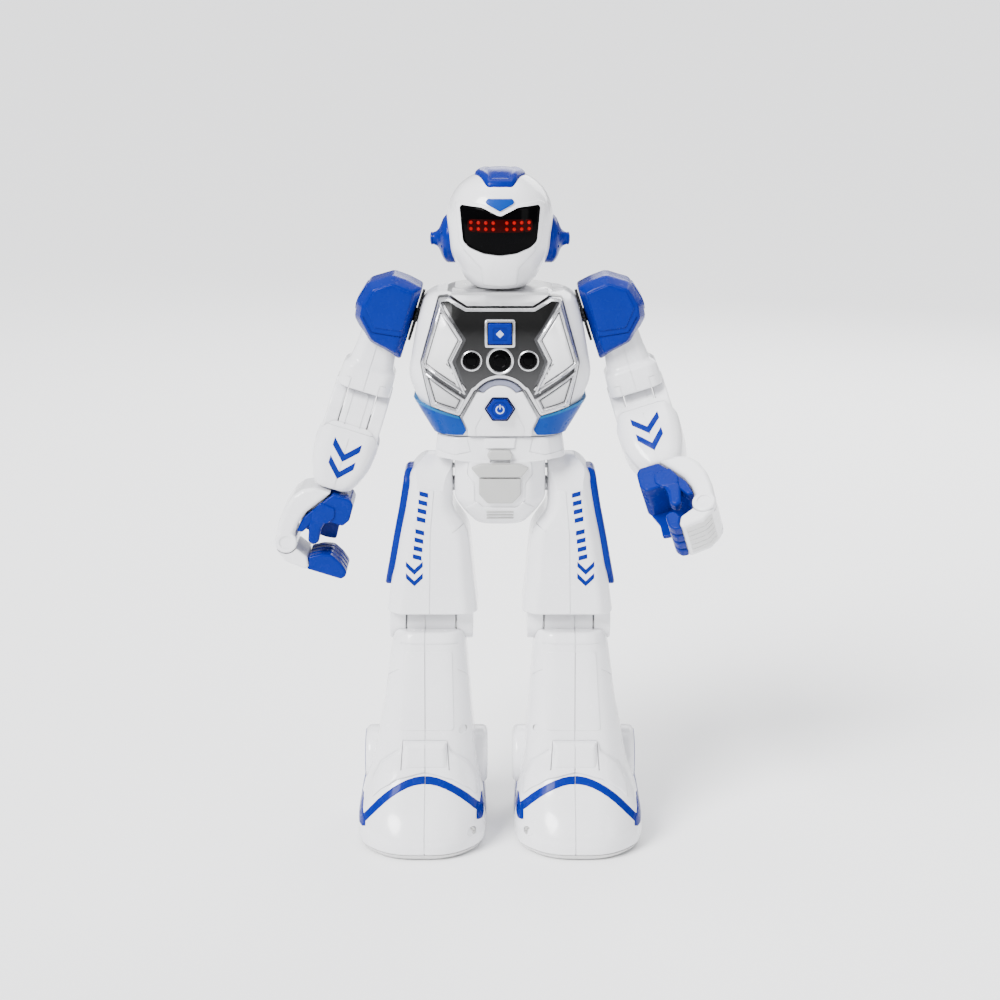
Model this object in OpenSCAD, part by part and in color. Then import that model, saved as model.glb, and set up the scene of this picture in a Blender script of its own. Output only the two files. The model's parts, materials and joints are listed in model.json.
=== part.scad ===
// Walking humanoid toy robot, standing, left elbow bent.
// Millimetres. +Z up, the robot faces -Y, its left side is +X.
// Origin: on the floor, midway between the two feet.

/* [Body] */
// Wall thickness of the moulded shells
wall = 1.8; // [1.6:0.1:2]
// Thickness of the raised chest and belly panels
panel_t = 3; // [2.8:0.1:3]

/* [Arms] */
// Height of the shoulder pivot above the floor
shoulder_z = 208; // [207.8:0.1:208.2]
// Distance of the shoulder pivot from the centre plane
shoulder_x = 31.7; // [31.7:0.1:32.5]
// Outward splay of the hanging arms, in degrees
splay = 17.5; // [17:0.5:18]
// Forward bend of the left elbow, in degrees
left_bend = 50; // [0:5:90]
// Forward bend of the right elbow, in degrees
right_bend = 0; // [0:5:90]

/* [Legs] */
// Height of the hip axis above the floor
hip_z = 142; // [142:0.1:142.1]
// Height of the knee axis above the floor
knee_z = 87; // [86.9:0.1:87.1]
// Radius of the one-way rollers in the soles
roller_r = 5; // [4.8:0.1:5]

/* [Fits] */
// Radial clearance between a pin and the bore that turns on it
pin_gap = 0.06; // [0.03:0.01:0.08]
// Gap between bodies that move past each other
move_gap = 0.35; // [0.3:0.05:0.4]

/* [Hidden] */
$fn = 48;
shell_white = "whitesmoke";
trim_blue = "royalblue";
chest_silver = "silver";
panel_grey = "gainsboro";
lens_black = [0.08, 0.08, 0.09];
steel = "slategray";
rubber_grey = "dimgray";

// Section rows: [z, half width, half depth, corner chamfer, centre x, centre y]
torso_rows = [
    [164, 23.6, 17, 6, 0, 0],
    [176.6, 31, 21, 8, 0, 0],
    [187, 35, 23.5, 9, 0, 0],
    [208, 31.2, 23, 9, 0, 0],
    [216, 28.8, 19.5, 8, 0, 0],
    [218.6, 24.5, 16.5, 7, 0, 0]
];
pelvis_rows = [
    [128.5, 9.5, 11, 4, 0, -1.5],
    [134, 14.2, 15, 5, 0, -1.5],
    [139, 17.4, 17.3, 6, 0, -1.5],
    [155, 17.4, 18.2, 6, 0, -1.5],
    [155.2, 25, 18, 6, 0, -1],
    [164, 24, 17.6, 7, 0, -0.5]
];
// Head sections are superellipses: [z, half width, half depth, centre y]
head_rows = [
    [220.4, 11, 12.5, -4],
    [223, 14.2, 15.8, -3.6],
    [228, 17.2, 19, -2.6],
    [234, 19.2, 21, -2],
    [241, 20, 21.8, -2],
    [247, 20, 21.4, -2],
    [252, 19, 20.2, -2],
    [256.5, 16.4, 17.6, -2],
    [260, 12.6, 14, -2],
    [262.4, 8, 9.4, -2],
    [263.6, 3.6, 4.6, -2]
];
upper_arm_rows = [
    [-33, 10.2, 10.4, 3, 11.4, 0],
    [-29, 10.4, 10.7, 3.2, 11.4, 0],
    [-23.5, 10, 10.4, 3.2, 11.4, 0],
    [-21.5, 8.6, 9, 3, 11.2, 0],
    [-17, 7.8, 8.4, 3, 11.2, 0],
    [-3, 7.2, 7.2, 2.5, 11, 0]
];
forearm_rows = [
    [-74, 6.9, 7.2, 2.5, 12, 0],
    [-70, 9.2, 8.6, 3, 11.8, 0],
    [-64, 11.2, 9.9, 3.4, 11.5, 0],
    [-58, 12.1, 10.4, 3.6, 11.4, 0],
    [-48, 12.1, 10.4, 3.6, 11.4, 0],
    [-42.6, 11.3, 10.3, 3.2, 11.4, 0]
];
thigh_rows = [
    [92.6, 17.7, 15.5, 4.5, 26.3, 0],
    [103, 16.3, 15.2, 4.5, 26.3, 0],
    [125, 13.3, 14.2, 4, 25.3, 0],
    [134, 9.3, 13.6, 4, 27.6, 0],
    [149, 8.1, 13, 4, 26.4, 0],
    [155.2, 4.8, 12.8, 3, 23.1, 0]
];
thigh_cavity_rows = [
    [76, 9.7, 11.5, 1, 27, 0],
    [105, 9.7, 11.5, 1, 27, 0],
    [124, 8.6, 11, 1, 26.6, 0],
    [136, 4.6, 10.2, 1, 28.8, 0],
    [149, 3.8, 9, 1, 28, 0],
    [152, 2.4, 5.4, 1, 27.4, 0]
];
boot_rows = [
    [2.4, 24.8, 37.8, 13, 31, -2.5],
    [8, 25.4, 38.8, 13, 31, -2.3],
    [16, 24.4, 35.5, 12, 31, -1.2],
    [24, 22.5, 27.5, 10, 30.5, -0.5],
    [31, 20.5, 21.8, 8, 30, -1.5],
    [42, 19, 18.8, 7, 29.4, -1.5],
    [56, 17, 16.8, 6, 28.6, -0.8],
    [80, 14.4, 15, 5.5, 28, 0],
    [84.6, 13.2, 13.2, 5, 27.8, 0]
];

// Right-hand halves of symmetric outlines in the XZ plane
plate_half = [
    [0, 214.8], [12.6, 214.8], [19.2, 219.2], [23.4, 217.8], [30.2, 193.4], [26.3, 176.4], [14.9, 173]
];
visor_half = [
    [0, 247.9], [6.6, 251.2], [14.8, 252], [15.3, 250.8], [13.8, 238.2], [11.4, 236], [6, 234.2], [0, 233.7]
];
// Outlines in the arm frame: [outwards, up]
pad_outline = [
    [1.1, 11.8], [7, 12.9], [13.2, 13.2], [21, 7.9], [23.3, -0.6], [22.5, -6.7], [14.8, -14.4], [3, -17.2],
    [1.1, -16]
];
shell_outline = [
    [11.6, -75], [18.8, -75], [25, -79.6], [27.5, -88.9], [27.3, -97.4], [22.8, -98.9], [19.8, -97],
    [20.6, -94.5], [19.5, -87.1], [13.8, -78.3]
];
// Fingers of the open right hand and of the closed left hand
open_fingers = [[12.9, -102.1], [4.4, -98.6], [-3.4, -103.4], [-2, -107], [12.2, -107], [11.6, -105.4]];
closed_fingers = [
    [12.9, -102.1], [11.8, -99.2], [9.4, -98.2], [7.6, -99.8], [8, -104.6], [9.8, -106.8], [12.2, -107],
    [11.6, -105.4]
];

// Shoulder and arm
arm_x = 11.4;
elbow = [arm_x, 0, -44];
elbow_r = 10.6;
ear_inner = 5.9;
ear_outer = 11;
shoulder_pin_r = 2.6;
elbow_pin_r = 1.5;
wrist_stem_r = 3.4;
knuckle = [22.8, 0, -98.9];
knuckle_r = 4.4;
knuckle_pin_r = 1.6;
hand_half_w = 10.5;
lug_y = 7.7;
finger_pitch = 5.1;
// Leg
hip_r = 12.6;
hip_pin_r = 3;
knee_ear_r = 8;
knee_ear_t = 6.4;
inner_ear_x = 10.6;
outer_ear_x = 37;
link_rise = 7;
link_x = 28;
link_pin_r = 1;
knee_r = 7.5;
knuckle_x = [17.5, 36.5];
knee_pin_r = 1.5;
seam_x = 29.4;
sole_x = 31;
roller_y = 4;
roller_x = 8.5;
// Torso front details
chest_button_z = 205.2;
lens_z = 195;
power_button_z = 176.2;
chest_front = -23.1;
side_lens_x = 10.6;
lens_r = 4.2;
side_lens_r = 3.4;
button_stem_r = 2;
arch_r = 10.2;
arch_z = 177.6;
neck_r = 5.5;
// Back screws: [x, z]
upper_screw = [19.5, 211];
lower_screw = [17, 168];

// ---------------------------------------------------------------- helpers

// Chamfered rectangle, anticlockwise from above
function section(r) = let(z = r[0], hx = r[1], hy = r[2], c = r[3], x = r[4], y = r[5]) [
    [x + hx - c, y - hy, z], [x + hx, y - hy + c, z],
    [x + hx, y + hy - c, z], [x + hx - c, y + hy, z],
    [x - hx + c, y + hy, z], [x - hx, y + hy - c, z],
    [x - hx, y - hy + c, z], [x - hx + c, y - hy, z]
];

// Superellipse, anticlockwise from above
function oval(r, steps = 28) = [
    for (i = [0 : steps - 1])
        let(a = 360 * i / steps, c = cos(a), s = sin(a))
            [r[1] * sign(c) * pow(abs(c), 0.88), r[3] + r[2] * sign(s) * pow(abs(s), 0.88), r[0]]
];

// Rows moved inwards by t (outwards if t is negative); the ends move in by low and high
function grown(rows, t, low = 0, high = 0) = let(last = len(rows) - 1) [
    for (i = [0 : last])
        let(r = rows[i],
            z = i == 0 ? r[0] + low
                : i == last ? r[0] - high
                : min(max(r[0], rows[0][0] + low), rows[last][0] - high))
            concat([z, r[1] - t, r[2] - t],
                   len(r) > 4 ? [max(r[3] - 0.5 * t, 0.3), r[4], r[5]] : [r[3]])
];

// Closed skin through a stack of rings with equal point counts
module skin(rings) {
    n = len(rings[0]);
    last = len(rings) - 1;
    polyhedron(
        points = [for (ring = rings) each ring],
        faces = concat(
            [[for (i = [0 : n - 1]) i]],
            [for (k = [0 : last - 1], i = [0 : n - 1])
                [k * n + i, (k + 1) * n + i, (k + 1) * n + (i + 1) % n]],
            [for (k = [0 : last - 1], i = [0 : n - 1])
                [k * n + i, (k + 1) * n + (i + 1) % n, k * n + (i + 1) % n]],
            [[for (i = [n - 1 : -1 : 0]) last * n + i]]),
        convexity = 6);
}

module block(rows) {
    skin([for (r = rows) section(r)]);
}

module dome(rows) {
    skin([for (r = rows) oval(r)]);
}

// Cylinder along X from x0 to x1, centred on y, z
module bar_x(r, x0, x1, y = 0, z = 0) {
    translate([x0, y, z]) rotate([0, 90, 0]) cylinder(r = r, h = x1 - x0);
}

// Cylinder along Y from y0 to y1, centred on x, z
module bar_y(r, y0, y1, x = 0, z = 0) {
    translate([x, y0, z]) rotate([-90, 0, 0]) cylinder(r = r, h = y1 - y0);
}

// Outline drawn in the XZ plane, extruded along Y from y0 to y1
module slab_y(y0, y1) {
    translate([0, y1, 0]) rotate([90, 0, 0]) linear_extrude(y1 - y0) children();
}

// Closed outline from its right-hand half, mirrored in the centre line
function both_sides(half) = concat(half, [for (i = [len(half) - 1 : -1 : 0]) [-half[i][0], half[i][1]]]);

// The left-hand side as drawn, or its mirror image for side = -1
module on_side(side) {
    mirror([side < 0 ? 1 : 0, 0, 0]) children();
}

// Arm frame: x outwards along the shoulder pin, z up the arm
module at_shoulder(side) {
    on_side(side) translate([shoulder_x, 0, shoulder_z]) rotate([0, -splay, 0]) children();
}

// The same frame, carried round the elbow by its bend
module at_elbow(side) {
    at_shoulder(side) translate(elbow) rotate([side < 0 ? -right_bend : -left_bend, 0, 0])
        translate(-elbow) children();
}

// ---------------------------------------------------------------- torso

module torso_skin(out = 0) {
    block(grown(torso_rows, -out, 0, -0.4 * out));
}

// Panel that lies on the front of the torso inside an outline
module front_panel(thick) {
    difference() {
        intersection() {
            torso_skin(thick);
            slab_y(-40, -8) children();
        }
        torso_skin();
    }
}

module torso_shell() {
    difference() {
        torso_skin();
        block(grown(torso_rows, wall, wall, wall));
        translate([0, 0, 210]) cylinder(r = neck_r, h = 12);
        for (side = [-1, 1])
            at_shoulder(side) bar_x(shoulder_pin_r, -14, 2);
        for (z = [chest_button_z, power_button_z])
            bar_y(button_stem_r + pin_gap, -40, -12, 0, z);
    }
}

module screw_holes(r) {
    for (x = [-1, 1]) {
        bar_y(r, 14, 40, x * upper_screw[0], upper_screw[1]);
        bar_y(r, 10, 40, x * lower_screw[0], lower_screw[1]);
    }
}

module torso_front() {
    color(shell_white) intersection() {
        torso_shell();
        translate([-50, -50, 150]) cube([100, 50, 100]);
    }
}

module door_opening(gap) {
    translate([-15.5 + gap, 0, 172 + gap]) cube([31 - 2 * gap, 40, 35 - 2 * gap]);
}

module torso_back() {
    color(shell_white) difference() {
        intersection() {
            torso_shell();
            translate([-50, 0, 150]) cube([100, 50, 100]);
        }
        door_opening(0);
        screw_holes(1.9);
    }
}

module battery_door() {
    color(shell_white) difference() {
        intersection() {
            torso_skin();
            door_opening(0.25);
        }
        block(grown(torso_rows, wall));
    }
}

// Waist arch: round over the power button, its sides run down to the wedges
module arch_outline(grow = 0) {
    intersection() {
        translate([0, arch_z]) circle(r = arch_r + grow);
        translate([-30, 183.2]) square([60, 30]);
    }
    polygon(both_sides([[0, 184], [8.5 + grow, 184], [14.6 + grow, 172.4], [12.4, 167.6], [12.4, 164.2]]));
}

module chest_plate() {
    color(chest_silver) difference() {
        union() {
            front_panel(panel_t) difference() {
                polygon(both_sides(plate_half));
                arch_outline(0.2);
            }
            for (side = [-1, 1])
                on_side(side) front_panel(panel_t + 1)
                    polygon([[23, 216.6], [29.8, 193.6], [26, 177.2], [15.6, 174.2], [12.4, 180.6],
                             [17, 195], [13.4, 202.6], [17.6, 209]]);
            front_panel(panel_t + 1.2) translate([-6.1, 200]) square([12.2, 10.6]);
        }
        slab_y(-40, -8) translate([-4.7, 201]) square([9.4, 8.4]);
        bar_y(lens_r, -40, -8, 0, lens_z);
        for (x = [-side_lens_x, side_lens_x])
            bar_y(side_lens_r, -40, -8, x, lens_z);
        collar_step();
    }
}

// Low step on top of the torso, round the neck
module collar_step() {
    block([[218.6, 22, 16.4, 6, 0, 0], [219.9, 18.5, 14, 5, 0, 0]]);
}

module neck_collar() {
    color(chest_silver) {
        // Neck post with the rim that holds the head on
        translate([0, 0, 214.4]) cylinder(r = neck_r, h = 11.6);
        translate([0, 0, 223.8]) cylinder(r = neck_r + 2, h = 2.2);
        translate([0, 0, 214.4]) cylinder(r = neck_r + 3, h = 2.4);
        collar_step();
        front_panel(panel_t + 0.8)
            polygon(both_sides([[0, 215], [12.4, 215], [18.6, 219.3], [18.6, 221]]));
    }
}

module chest_lenses() {
    color(lens_black) for (lens = [[0, lens_r], [-side_lens_x, side_lens_r], [side_lens_x, side_lens_r]])
        translate([lens[0], chest_front - 0.5, lens_z]) rotate([90, 0, 0]) rotate_extrude()
            polygon([[0, 0], [lens[1], 0], [lens[1], 3.6], [lens[1] - 0.9, 4.2], [0, 4.6]]);
}

module belly_panel() {
    color(shell_white) difference() {
        front_panel(panel_t) arch_outline();
        slab_y(-40, -8) power_button_outline(0.35);
    }
}

module waist_wedges() {
    color(trim_blue) for (side = [-1, 1])
        on_side(side) difference() {
            intersection() {
                torso_skin(1.4);
                slab_y(-40, 9) polygon([[34, 178.4], [26.5, 175.8], [15.2, 172.4], [12.9, 168], [12.9, 164.6],
                                        [34, 164.2]]);
            }
            torso_skin();
            slab_y(-40, -8) arch_outline(0.2);
        }
}

module power_button_outline(grow = 0) {
    translate([0, power_button_z])
        polygon([for (a = [0 : 60 : 300]) [(5.2 + grow) * cos(a), (4.5 + grow) * sin(a)]]);
}

module power_button() {
    color(trim_blue) {
        slab_y(-25.2, -23.3) power_button_outline();
        bar_y(button_stem_r, -23.5, -10.2, 0, power_button_z);
    }
}

module chest_button() {
    color(trim_blue) {
        slab_y(-27.8, -24.6) translate([-4.4, 201.3]) square([8.8, 7.8]);
        bar_y(button_stem_r, -24.8, -10.2, 0, chest_button_z);
    }
}

module circuit_board() {
    color("darkgreen") translate([-19, -8.8, 172]) cube([38, 1.4, 40]);
}

module speaker() {
    color(rubber_grey) translate([0, -10.4, 190.6]) rotate([90, 0, 0]) {
        cylinder(r = 6.5, h = 4);
        translate([0, 0, 4]) cylinder(r = 10, h = 3);
    }
}

module battery_cells() {
    color("darkgoldenrod") for (i = [-1.5 : 1 : 1.5])
        translate([i * 10.6, 8.5, 168.6]) {
            cylinder(r = 5.2, h = 43.4);
            cylinder(r = 1.9, h = 44.5);
        }
}

module body_screws() {
    color(steel) for (x = [-1, 1]) {
        bar_y(1.8, 15, 20.6, x * upper_screw[0], upper_screw[1]);
        bar_y(1.8, 14, 17.4, x * lower_screw[0], lower_screw[1]);
    }
}

module shoulder_pins() {
    color(lens_black) for (side = [-1, 1])
        at_shoulder(side) {
            bar_x(shoulder_pin_r, -9, 14);
            bar_x(9.4, -0.3, 0.7);
        }
}

// ---------------------------------------------------------------- pelvis

module pelvis_shell() {
    difference() {
        block(pelvis_rows);
        block(grown(pelvis_rows, wall, wall, wall));
        bar_x(hip_pin_r, -40, 40, 0, hip_z);
        bar_x(link_pin_r, -40, 40, 0, hip_z + link_rise);
    }
}

module pelvis_front() {
    color(shell_white) intersection() {
        pelvis_shell();
        translate([-50, -50, 100]) cube([100, 50, 100]);
    }
}

module pelvis_back() {
    color(shell_white) intersection() {
        pelvis_shell();
        translate([-50, 0, 100]) cube([100, 50, 100]);
    }
}

module pelvis_plates() {
    color(panel_grey) difference() {
        union() {
            slab_y(-21, -17) polygon(both_sides([[0, 157.3], [7.4, 157.3], [11, 152.9], [8.1, 149.1]]));
            slab_y(-20.6, -17) polygon(both_sides([[0, 148.5], [8, 148.5], [8, 142.2], [4.6, 138.4]]));
            slab_y(-22, -17) polygon(both_sides([[0, 159.4], [3.6, 159.4], [4.8, 157.2], [4, 155.6]]));
        }
        block(pelvis_rows);
        slab_y(-23, -20) translate([-3.9, 154.3]) square([7.8, 1]);
    }
}

module walk_motor() {
    color(steel) bar_x(5, -12, 12, 1, 157);
}

module gearbox() {
    color(panel_grey) difference() {
        translate([-11, -9, 135.4]) cube([22, 18, 16.4]);
        bar_x(hip_pin_r, -12, -7, 0, hip_z);
        bar_x(hip_pin_r, 7, 12, 0, hip_z);
    }
}

module hip_pins() {
    color(steel) for (side = [-1, 1])
        on_side(side) {
            bar_x(hip_pin_r, 7, 24, 0, hip_z);
            bar_x(link_pin_r, 14, link_x + 2, 0, hip_z + link_rise);
        }
}

// ---------------------------------------------------------------- head

module head_skin(out = 0) {
    dome(grown(head_rows, -out, 0, -out));
}

module visor_outline(grow = 0) {
    offset(delta = grow) polygon(both_sides(visor_half));
}

module helmet_shell() {
    difference() {
        head_skin();
        dome(grown(head_rows, wall, 3, wall));
        translate([0, 0, 219]) cylinder(r = neck_r + pin_gap, h = 5);
        slab_y(-40, -6) visor_outline();
    }
}

module helmet_front() {
    color(shell_white) intersection() {
        helmet_shell();
        translate([-50, -50, 200]) cube([100, 50, 100]);
    }
}

module helmet_back() {
    color(shell_white) intersection() {
        helmet_shell();
        translate([-50, 0, 200]) cube([100, 50, 100]);
    }
}

module visor() {
    color(lens_black) difference() {
        intersection() {
            head_skin(-0.3);
            slab_y(-40, -6) visor_outline(-0.1);
        }
        dome(grown(head_rows, wall));
    }
}

module led_board() {
    color("firebrick") {
        translate([-11.5, -14, 240.4]) cube([23, 1.2, 8]);
        for (side = [-1, 1], col = [0 : 3], row = [-1, 1])
            bar_y(0.8, -15.4, -13.9, side * (2.9 + col * 2.45), 244.4 + row * 1.2);
    }
}

module head_crest() {
    color(trim_blue) difference() {
        intersection() {
            head_skin(1.4);
            translate([0, 0, 245]) linear_extrude(30)
                polygon(both_sides([[0, -18], [5.2, -17.6], [10.6, -5], [7.6, 7], [3.6, 13]]));
            translate([-20, -40, 257.4]) cube([40, 80, 20]);
        }
        head_skin();
        // Dished top
        translate([0, -5, 283]) sphere(r = 19);
    }
}

module forehead_gem() {
    color(trim_blue) difference() {
        intersection() {
            head_skin(0.7);
            slab_y(-40, -10) polygon(both_sides([[0, 254.4], [4.8, 254.4], [5.7, 253.2], [0, 249.8]]));
        }
        head_skin();
    }
}

module ear_caps() {
    color(trim_blue) for (side = [-1, 1])
        on_side(side) difference() {
            translate([17.4, -1, 237.5]) rotate([0, 90, 0]) rotate_extrude()
                polygon([[0, 0], [9, 0], [9, 3], [7.4, 4.4], [4, 5.4], [2.6, 6.2], [2.2, 7.6], [1.4, 8.1],
                         [0, 8.1]]);
            head_skin();
        }
}

// ---------------------------------------------------------------- arms

// Faceted pad solid, moved in by t
module pad_solid(t) {
    hull() {
        slab_y(-7.6 + 0.4 * t, 7.6 - 0.4 * t) offset(delta = -t) polygon(pad_outline);
        slab_y(-13 + t, 13 - t) offset(delta = -3.6 - t) polygon(pad_outline);
    }
}

module shoulder_pad(side) {
    color(trim_blue) at_shoulder(side) difference() {
        pad_solid(0);
        pad_solid(1.6);
        // Open towards the torso and where the arm hangs out
        bar_x(9.8, -3, 8);
        block([[-26, 9.2, 9.6, 3, 11.2, 0], [-3, 9.2, 9.6, 3, 11.2, 0]]);
    }
}

module upper_arm(side) {
    color(shell_white) at_shoulder(side) difference() {
        union() {
            bar_x(7.6, 1.3, 17);
            block(upper_arm_rows);
            for (x = [-ear_outer, ear_inner])
                translate([arm_x, 0, elbow[2]]) {
                    bar_x(elbow_r - 0.2, x, x + ear_outer - ear_inner);
                    translate([x, -2.4, 0]) cube([ear_outer - ear_inner, elbow_r + 2, 13]);
                }
        }
        bar_x(shoulder_pin_r + pin_gap, 0, 14.2);
        bar_x(elbow_pin_r, -20, 40, 0, elbow[2]);
        // Room for the forearm knuckle between the ears
        bar_x(elbow_r + move_gap, arm_x - ear_inner, arm_x + ear_inner, 0, elbow[2]);
    }
}

module elbow_pin(side) {
    color(steel) at_shoulder(side)
        bar_x(elbow_pin_r, arm_x - ear_outer + 1.5, arm_x + ear_outer - 1.5, 0, elbow[2]);
}

module forearm(side) {
    color(shell_white) at_elbow(side) difference() {
        union() {
            difference() {
                block(forearm_rows);
                bar_x(elbow_r + 0.15, -5, 30, 0, elbow[2]);
            }
            translate([arm_x, 0, elbow[2]]) bar_x(elbow_r, -ear_inner + move_gap, ear_inner - move_gap);
            translate([arm_x - ear_inner + move_gap, -8, -58]) cube([2 * (ear_inner - move_gap), 16, 12]);
        }
        bar_x(elbow_pin_r + pin_gap, -20, 40, 0, elbow[2]);
        translate([arm_x, 0, -80]) cylinder(r = wrist_stem_r + pin_gap, h = 15);
    }
}

module hand_shell(side) {
    color(shell_white) at_elbow(side) difference() {
        union() {
            slab_y(-hand_half_w, hand_half_w) polygon(shell_outline);
            bar_y(knuckle_r, -hand_half_w, hand_half_w, knuckle[0], knuckle[2]);
        }
        difference() {
            bar_y(knuckle_r + move_gap, -lug_y, lug_y, knuckle[0], knuckle[2]);
            bar_y(knuckle_pin_r, -lug_y, lug_y, knuckle[0], knuckle[2]);
        }
    }
}

module palm(side) {
    color(trim_blue) at_elbow(side) {
        difference() {
            union() {
                slab_y(-9.6, 9.6)
                    polygon([[3.6, -75.4], [10.8, -75.4], [13.4, -78.8], [19.2, -87.3], [20.2, -93.6],
                             [17.8, -93.4], [15.6, -89.6], [11, -86.2], [3.6, -86.4], [1.7, -83.5],
                             [1.9, -77.4]]);
                translate([arm_x, 0, -78]) cylinder(r = wrist_stem_r, h = 12);
                // Far wall of the fist
                slab_y(7.6, 9.6)
                    polygon([[2.6, -85], [12, -85], [19.6, -88], [20.2, -93.6], [17.4, -96.4], [8.4, -97.2],
                             [4.4, -96.6], [4.8, -91]]);
            }
            slab_y(-20, 20) polygon(shell_outline);
        }
        // Thumb
        slab_y(-10.2, -5.4) polygon([[9.6, -84.6], [16, -85], [16.4, -88.6], [14.7, -96.4], [10.7, -95.1]]);
    }
}

module finger_cover(side) {
    color(shell_white) at_elbow(side) difference() {
        union() {
            slab_y(-hand_half_w + 0.3, hand_half_w - 0.3)
                polygon([[26.6, -101.2], [25.2, -102.8], [20.6, -106.3], [12.4, -107], [11.8, -105.4],
                         [13.2, -102.2], [18.6, -100], [22.8, -98.9]]);
            bar_y(knuckle_r, -lug_y + move_gap, lug_y - move_gap, knuckle[0], knuckle[2]);
        }
        bar_y(knuckle_pin_r + pin_gap, -20, 20, knuckle[0], knuckle[2]);
        for (end = [-20, lug_y - move_gap])
            bar_y(knuckle_r + move_gap, end, end + 20 - lug_y + move_gap, knuckle[0], knuckle[2]);
    }
}

module fingers(side) {
    color(trim_blue) at_elbow(side) difference() {
        slab_y(-9.8, 9.8) polygon(side < 0 ? open_fingers : closed_fingers);
        for (y = [-finger_pitch, 0, finger_pitch])
            translate([-5, y - 0.3, -110]) cube([side < 0 ? 12 : 13.6, 0.6, 12]);
    }
}

// ---------------------------------------------------------------- legs

module thigh(side) {
    color(shell_white) on_side(side) difference() {
        union() {
            intersection() {
                block(thigh_rows);
                union() {
                    bar_x(hip_r, 0, 60, 0, hip_z);
                    translate([0, -30, 80]) cube([60, 60, hip_z - 80]);
                }
            }
            for (x = [inner_ear_x, outer_ear_x]) {
                bar_x(knee_ear_r, x, x + knee_ear_t, 0, knee_z);
                translate([x, -knee_ear_r, knee_z]) cube([knee_ear_t, 2 * knee_ear_r, 8]);
            }
        }
        block(thigh_cavity_rows);
        bar_x(hip_pin_r + pin_gap, 10, 25, 0, hip_z);
        bar_x(3.2, 10, 25, 0, hip_z + link_rise);
        bar_x(knee_pin_r, 0, 60, 0, knee_z);
    }
}

module thigh_panel(side) {
    color(trim_blue) on_side(side) difference() {
        intersection() {
            block(grown(thigh_rows, -2.3));
            rotate([90, 0, 90]) linear_extrude(80)
                polygon([[-6, 149.6], [6, 149.6], [9.6, 144.6], [10.6, 110], [6.6, 102.6], [-6.6, 102.6],
                         [-10.6, 110], [-9.6, 144.6]]);
            translate([28, -30, 90]) cube([30, 60, 70]);
        }
        block(thigh_rows);
    }
}

module knee_pin(side) {
    color(steel) on_side(side) bar_x(knee_pin_r, 12.1, 41.9, 0, knee_z);
}

module link_rod(side) {
    top = hip_z + link_rise;
    low = knee_z + link_rise;
    color(steel) on_side(side) difference() {
        union() {
            bar_x(2.2, link_x - 1, link_x + 1, 0, top);
            bar_x(2.2, link_x - 1, link_x + 1, 0, low);
            translate([link_x - 1, -1.6, low]) cube([2, 3.2, top - low]);
        }
        bar_x(link_pin_r + pin_gap, link_x - 3, link_x + 3, 0, top);
        bar_x(link_pin_r + move_gap, link_x - 3, link_x + 3, 0, low);
    }
}

// Boot with its ankle bosses, before it is hollowed and split
module boot_solid() {
    difference() {
        union() {
            block(boot_rows);
            bar_x(11.6, 5, 28, 5, 28);
            bar_x(11.6, 32, 54, 5, 28);
        }
        // Room for the ears of the thigh
        bar_x(knee_ear_r + move_gap, 8, knuckle_x[0], 0, knee_z);
        bar_x(knee_ear_r + move_gap, knuckle_x[1], 50, 0, knee_z);
    }
    bar_x(knee_r, knuckle_x[0], knuckle_x[1], 0, knee_z);
}

module boot_shell() {
    difference() {
        boot_solid();
        block([for (i = [0 : 6]) let(r = boot_rows[i]) [max(r[0] + (i == 0 ? -1 : 0), 1), r[1] - 2, r[2] - 2,
                                                        max(r[3] - 1, 1), r[4], r[5]]]);
        bar_x(knee_pin_r + pin_gap, 0, 60, 0, knee_z);
        // Slot for the foot of the link rod
        bar_x(2.8, link_x - 1.4, seam_x, 0, knee_z + link_rise);
    }
    // Tongue on the instep
    slab_y(-21.6, -17) polygon([[24, 34], [35.4, 34], [35, 42.4], [24.4, 42.4]]);
}

// Lug that the foot of the link rod hooks over
module link_lug() {
    low = knee_z + link_rise;
    difference() {
        union() {
            bar_x(2.2, link_x - 4, link_x - 1.4, 0, low);
            translate([link_x - 4, -2.2, knee_z + 5]) cube([2.6, 4.4, low - knee_z - 5]);
            bar_x(link_pin_r, link_x - 2, link_x + 1.2, 0, low);
        }
        bar_x(knee_pin_r + pin_gap, 0, 60, 0, knee_z);
    }
}

module boot_inner(side) {
    color(shell_white) on_side(side) {
        intersection() {
            boot_shell();
            translate([-10, -60, 0]) cube([10 + seam_x, 120, 120]);
        }
        link_lug();
    }
}

module boot_outer(side) {
    color(shell_white) on_side(side) intersection() {
        boot_shell();
        translate([seam_x, -60, 0]) cube([60, 120, 120]);
    }
}

module sole(side) {
    color(panel_grey) on_side(side) {
        difference() {
            block([[0.8, 23.4, 36.4, 12.4, sole_x, -2.5], [2.4, 24.8, 37.8, 13, sole_x, -2.5]]);
            for (x = [-roller_x, roller_x])
                translate([sole_x + x - 2.4, roller_y - 6, 0]) cube([4.8, 12, 10]);
        }
        // Skid pads
        for (x = [-14, 14], y = [-28, 24])
            translate([sole_x + x, y, 0]) cylinder(r = 3, h = 1.2);
        // Bearing posts of the roller axle
        for (x = [-15, -0.75, 13.5])
            translate([sole_x + x, roller_y - 2.5, 2]) difference() {
                cube([1.5, 5, 5.6]);
                bar_x(1 + pin_gap, -1, 3, 2.5, roller_r - 2);
            }
    }
}

module rollers(side) {
    color(rubber_grey) on_side(side) {
        bar_x(1, sole_x - 15, sole_x + 15, roller_y, roller_r);
        for (x = [-roller_x, roller_x])
            bar_x(roller_r, sole_x + x - 1.8, sole_x + x + 1.8, roller_y, roller_r);
    }
}

// ---------------------------------------------------------------- nodes

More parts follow.
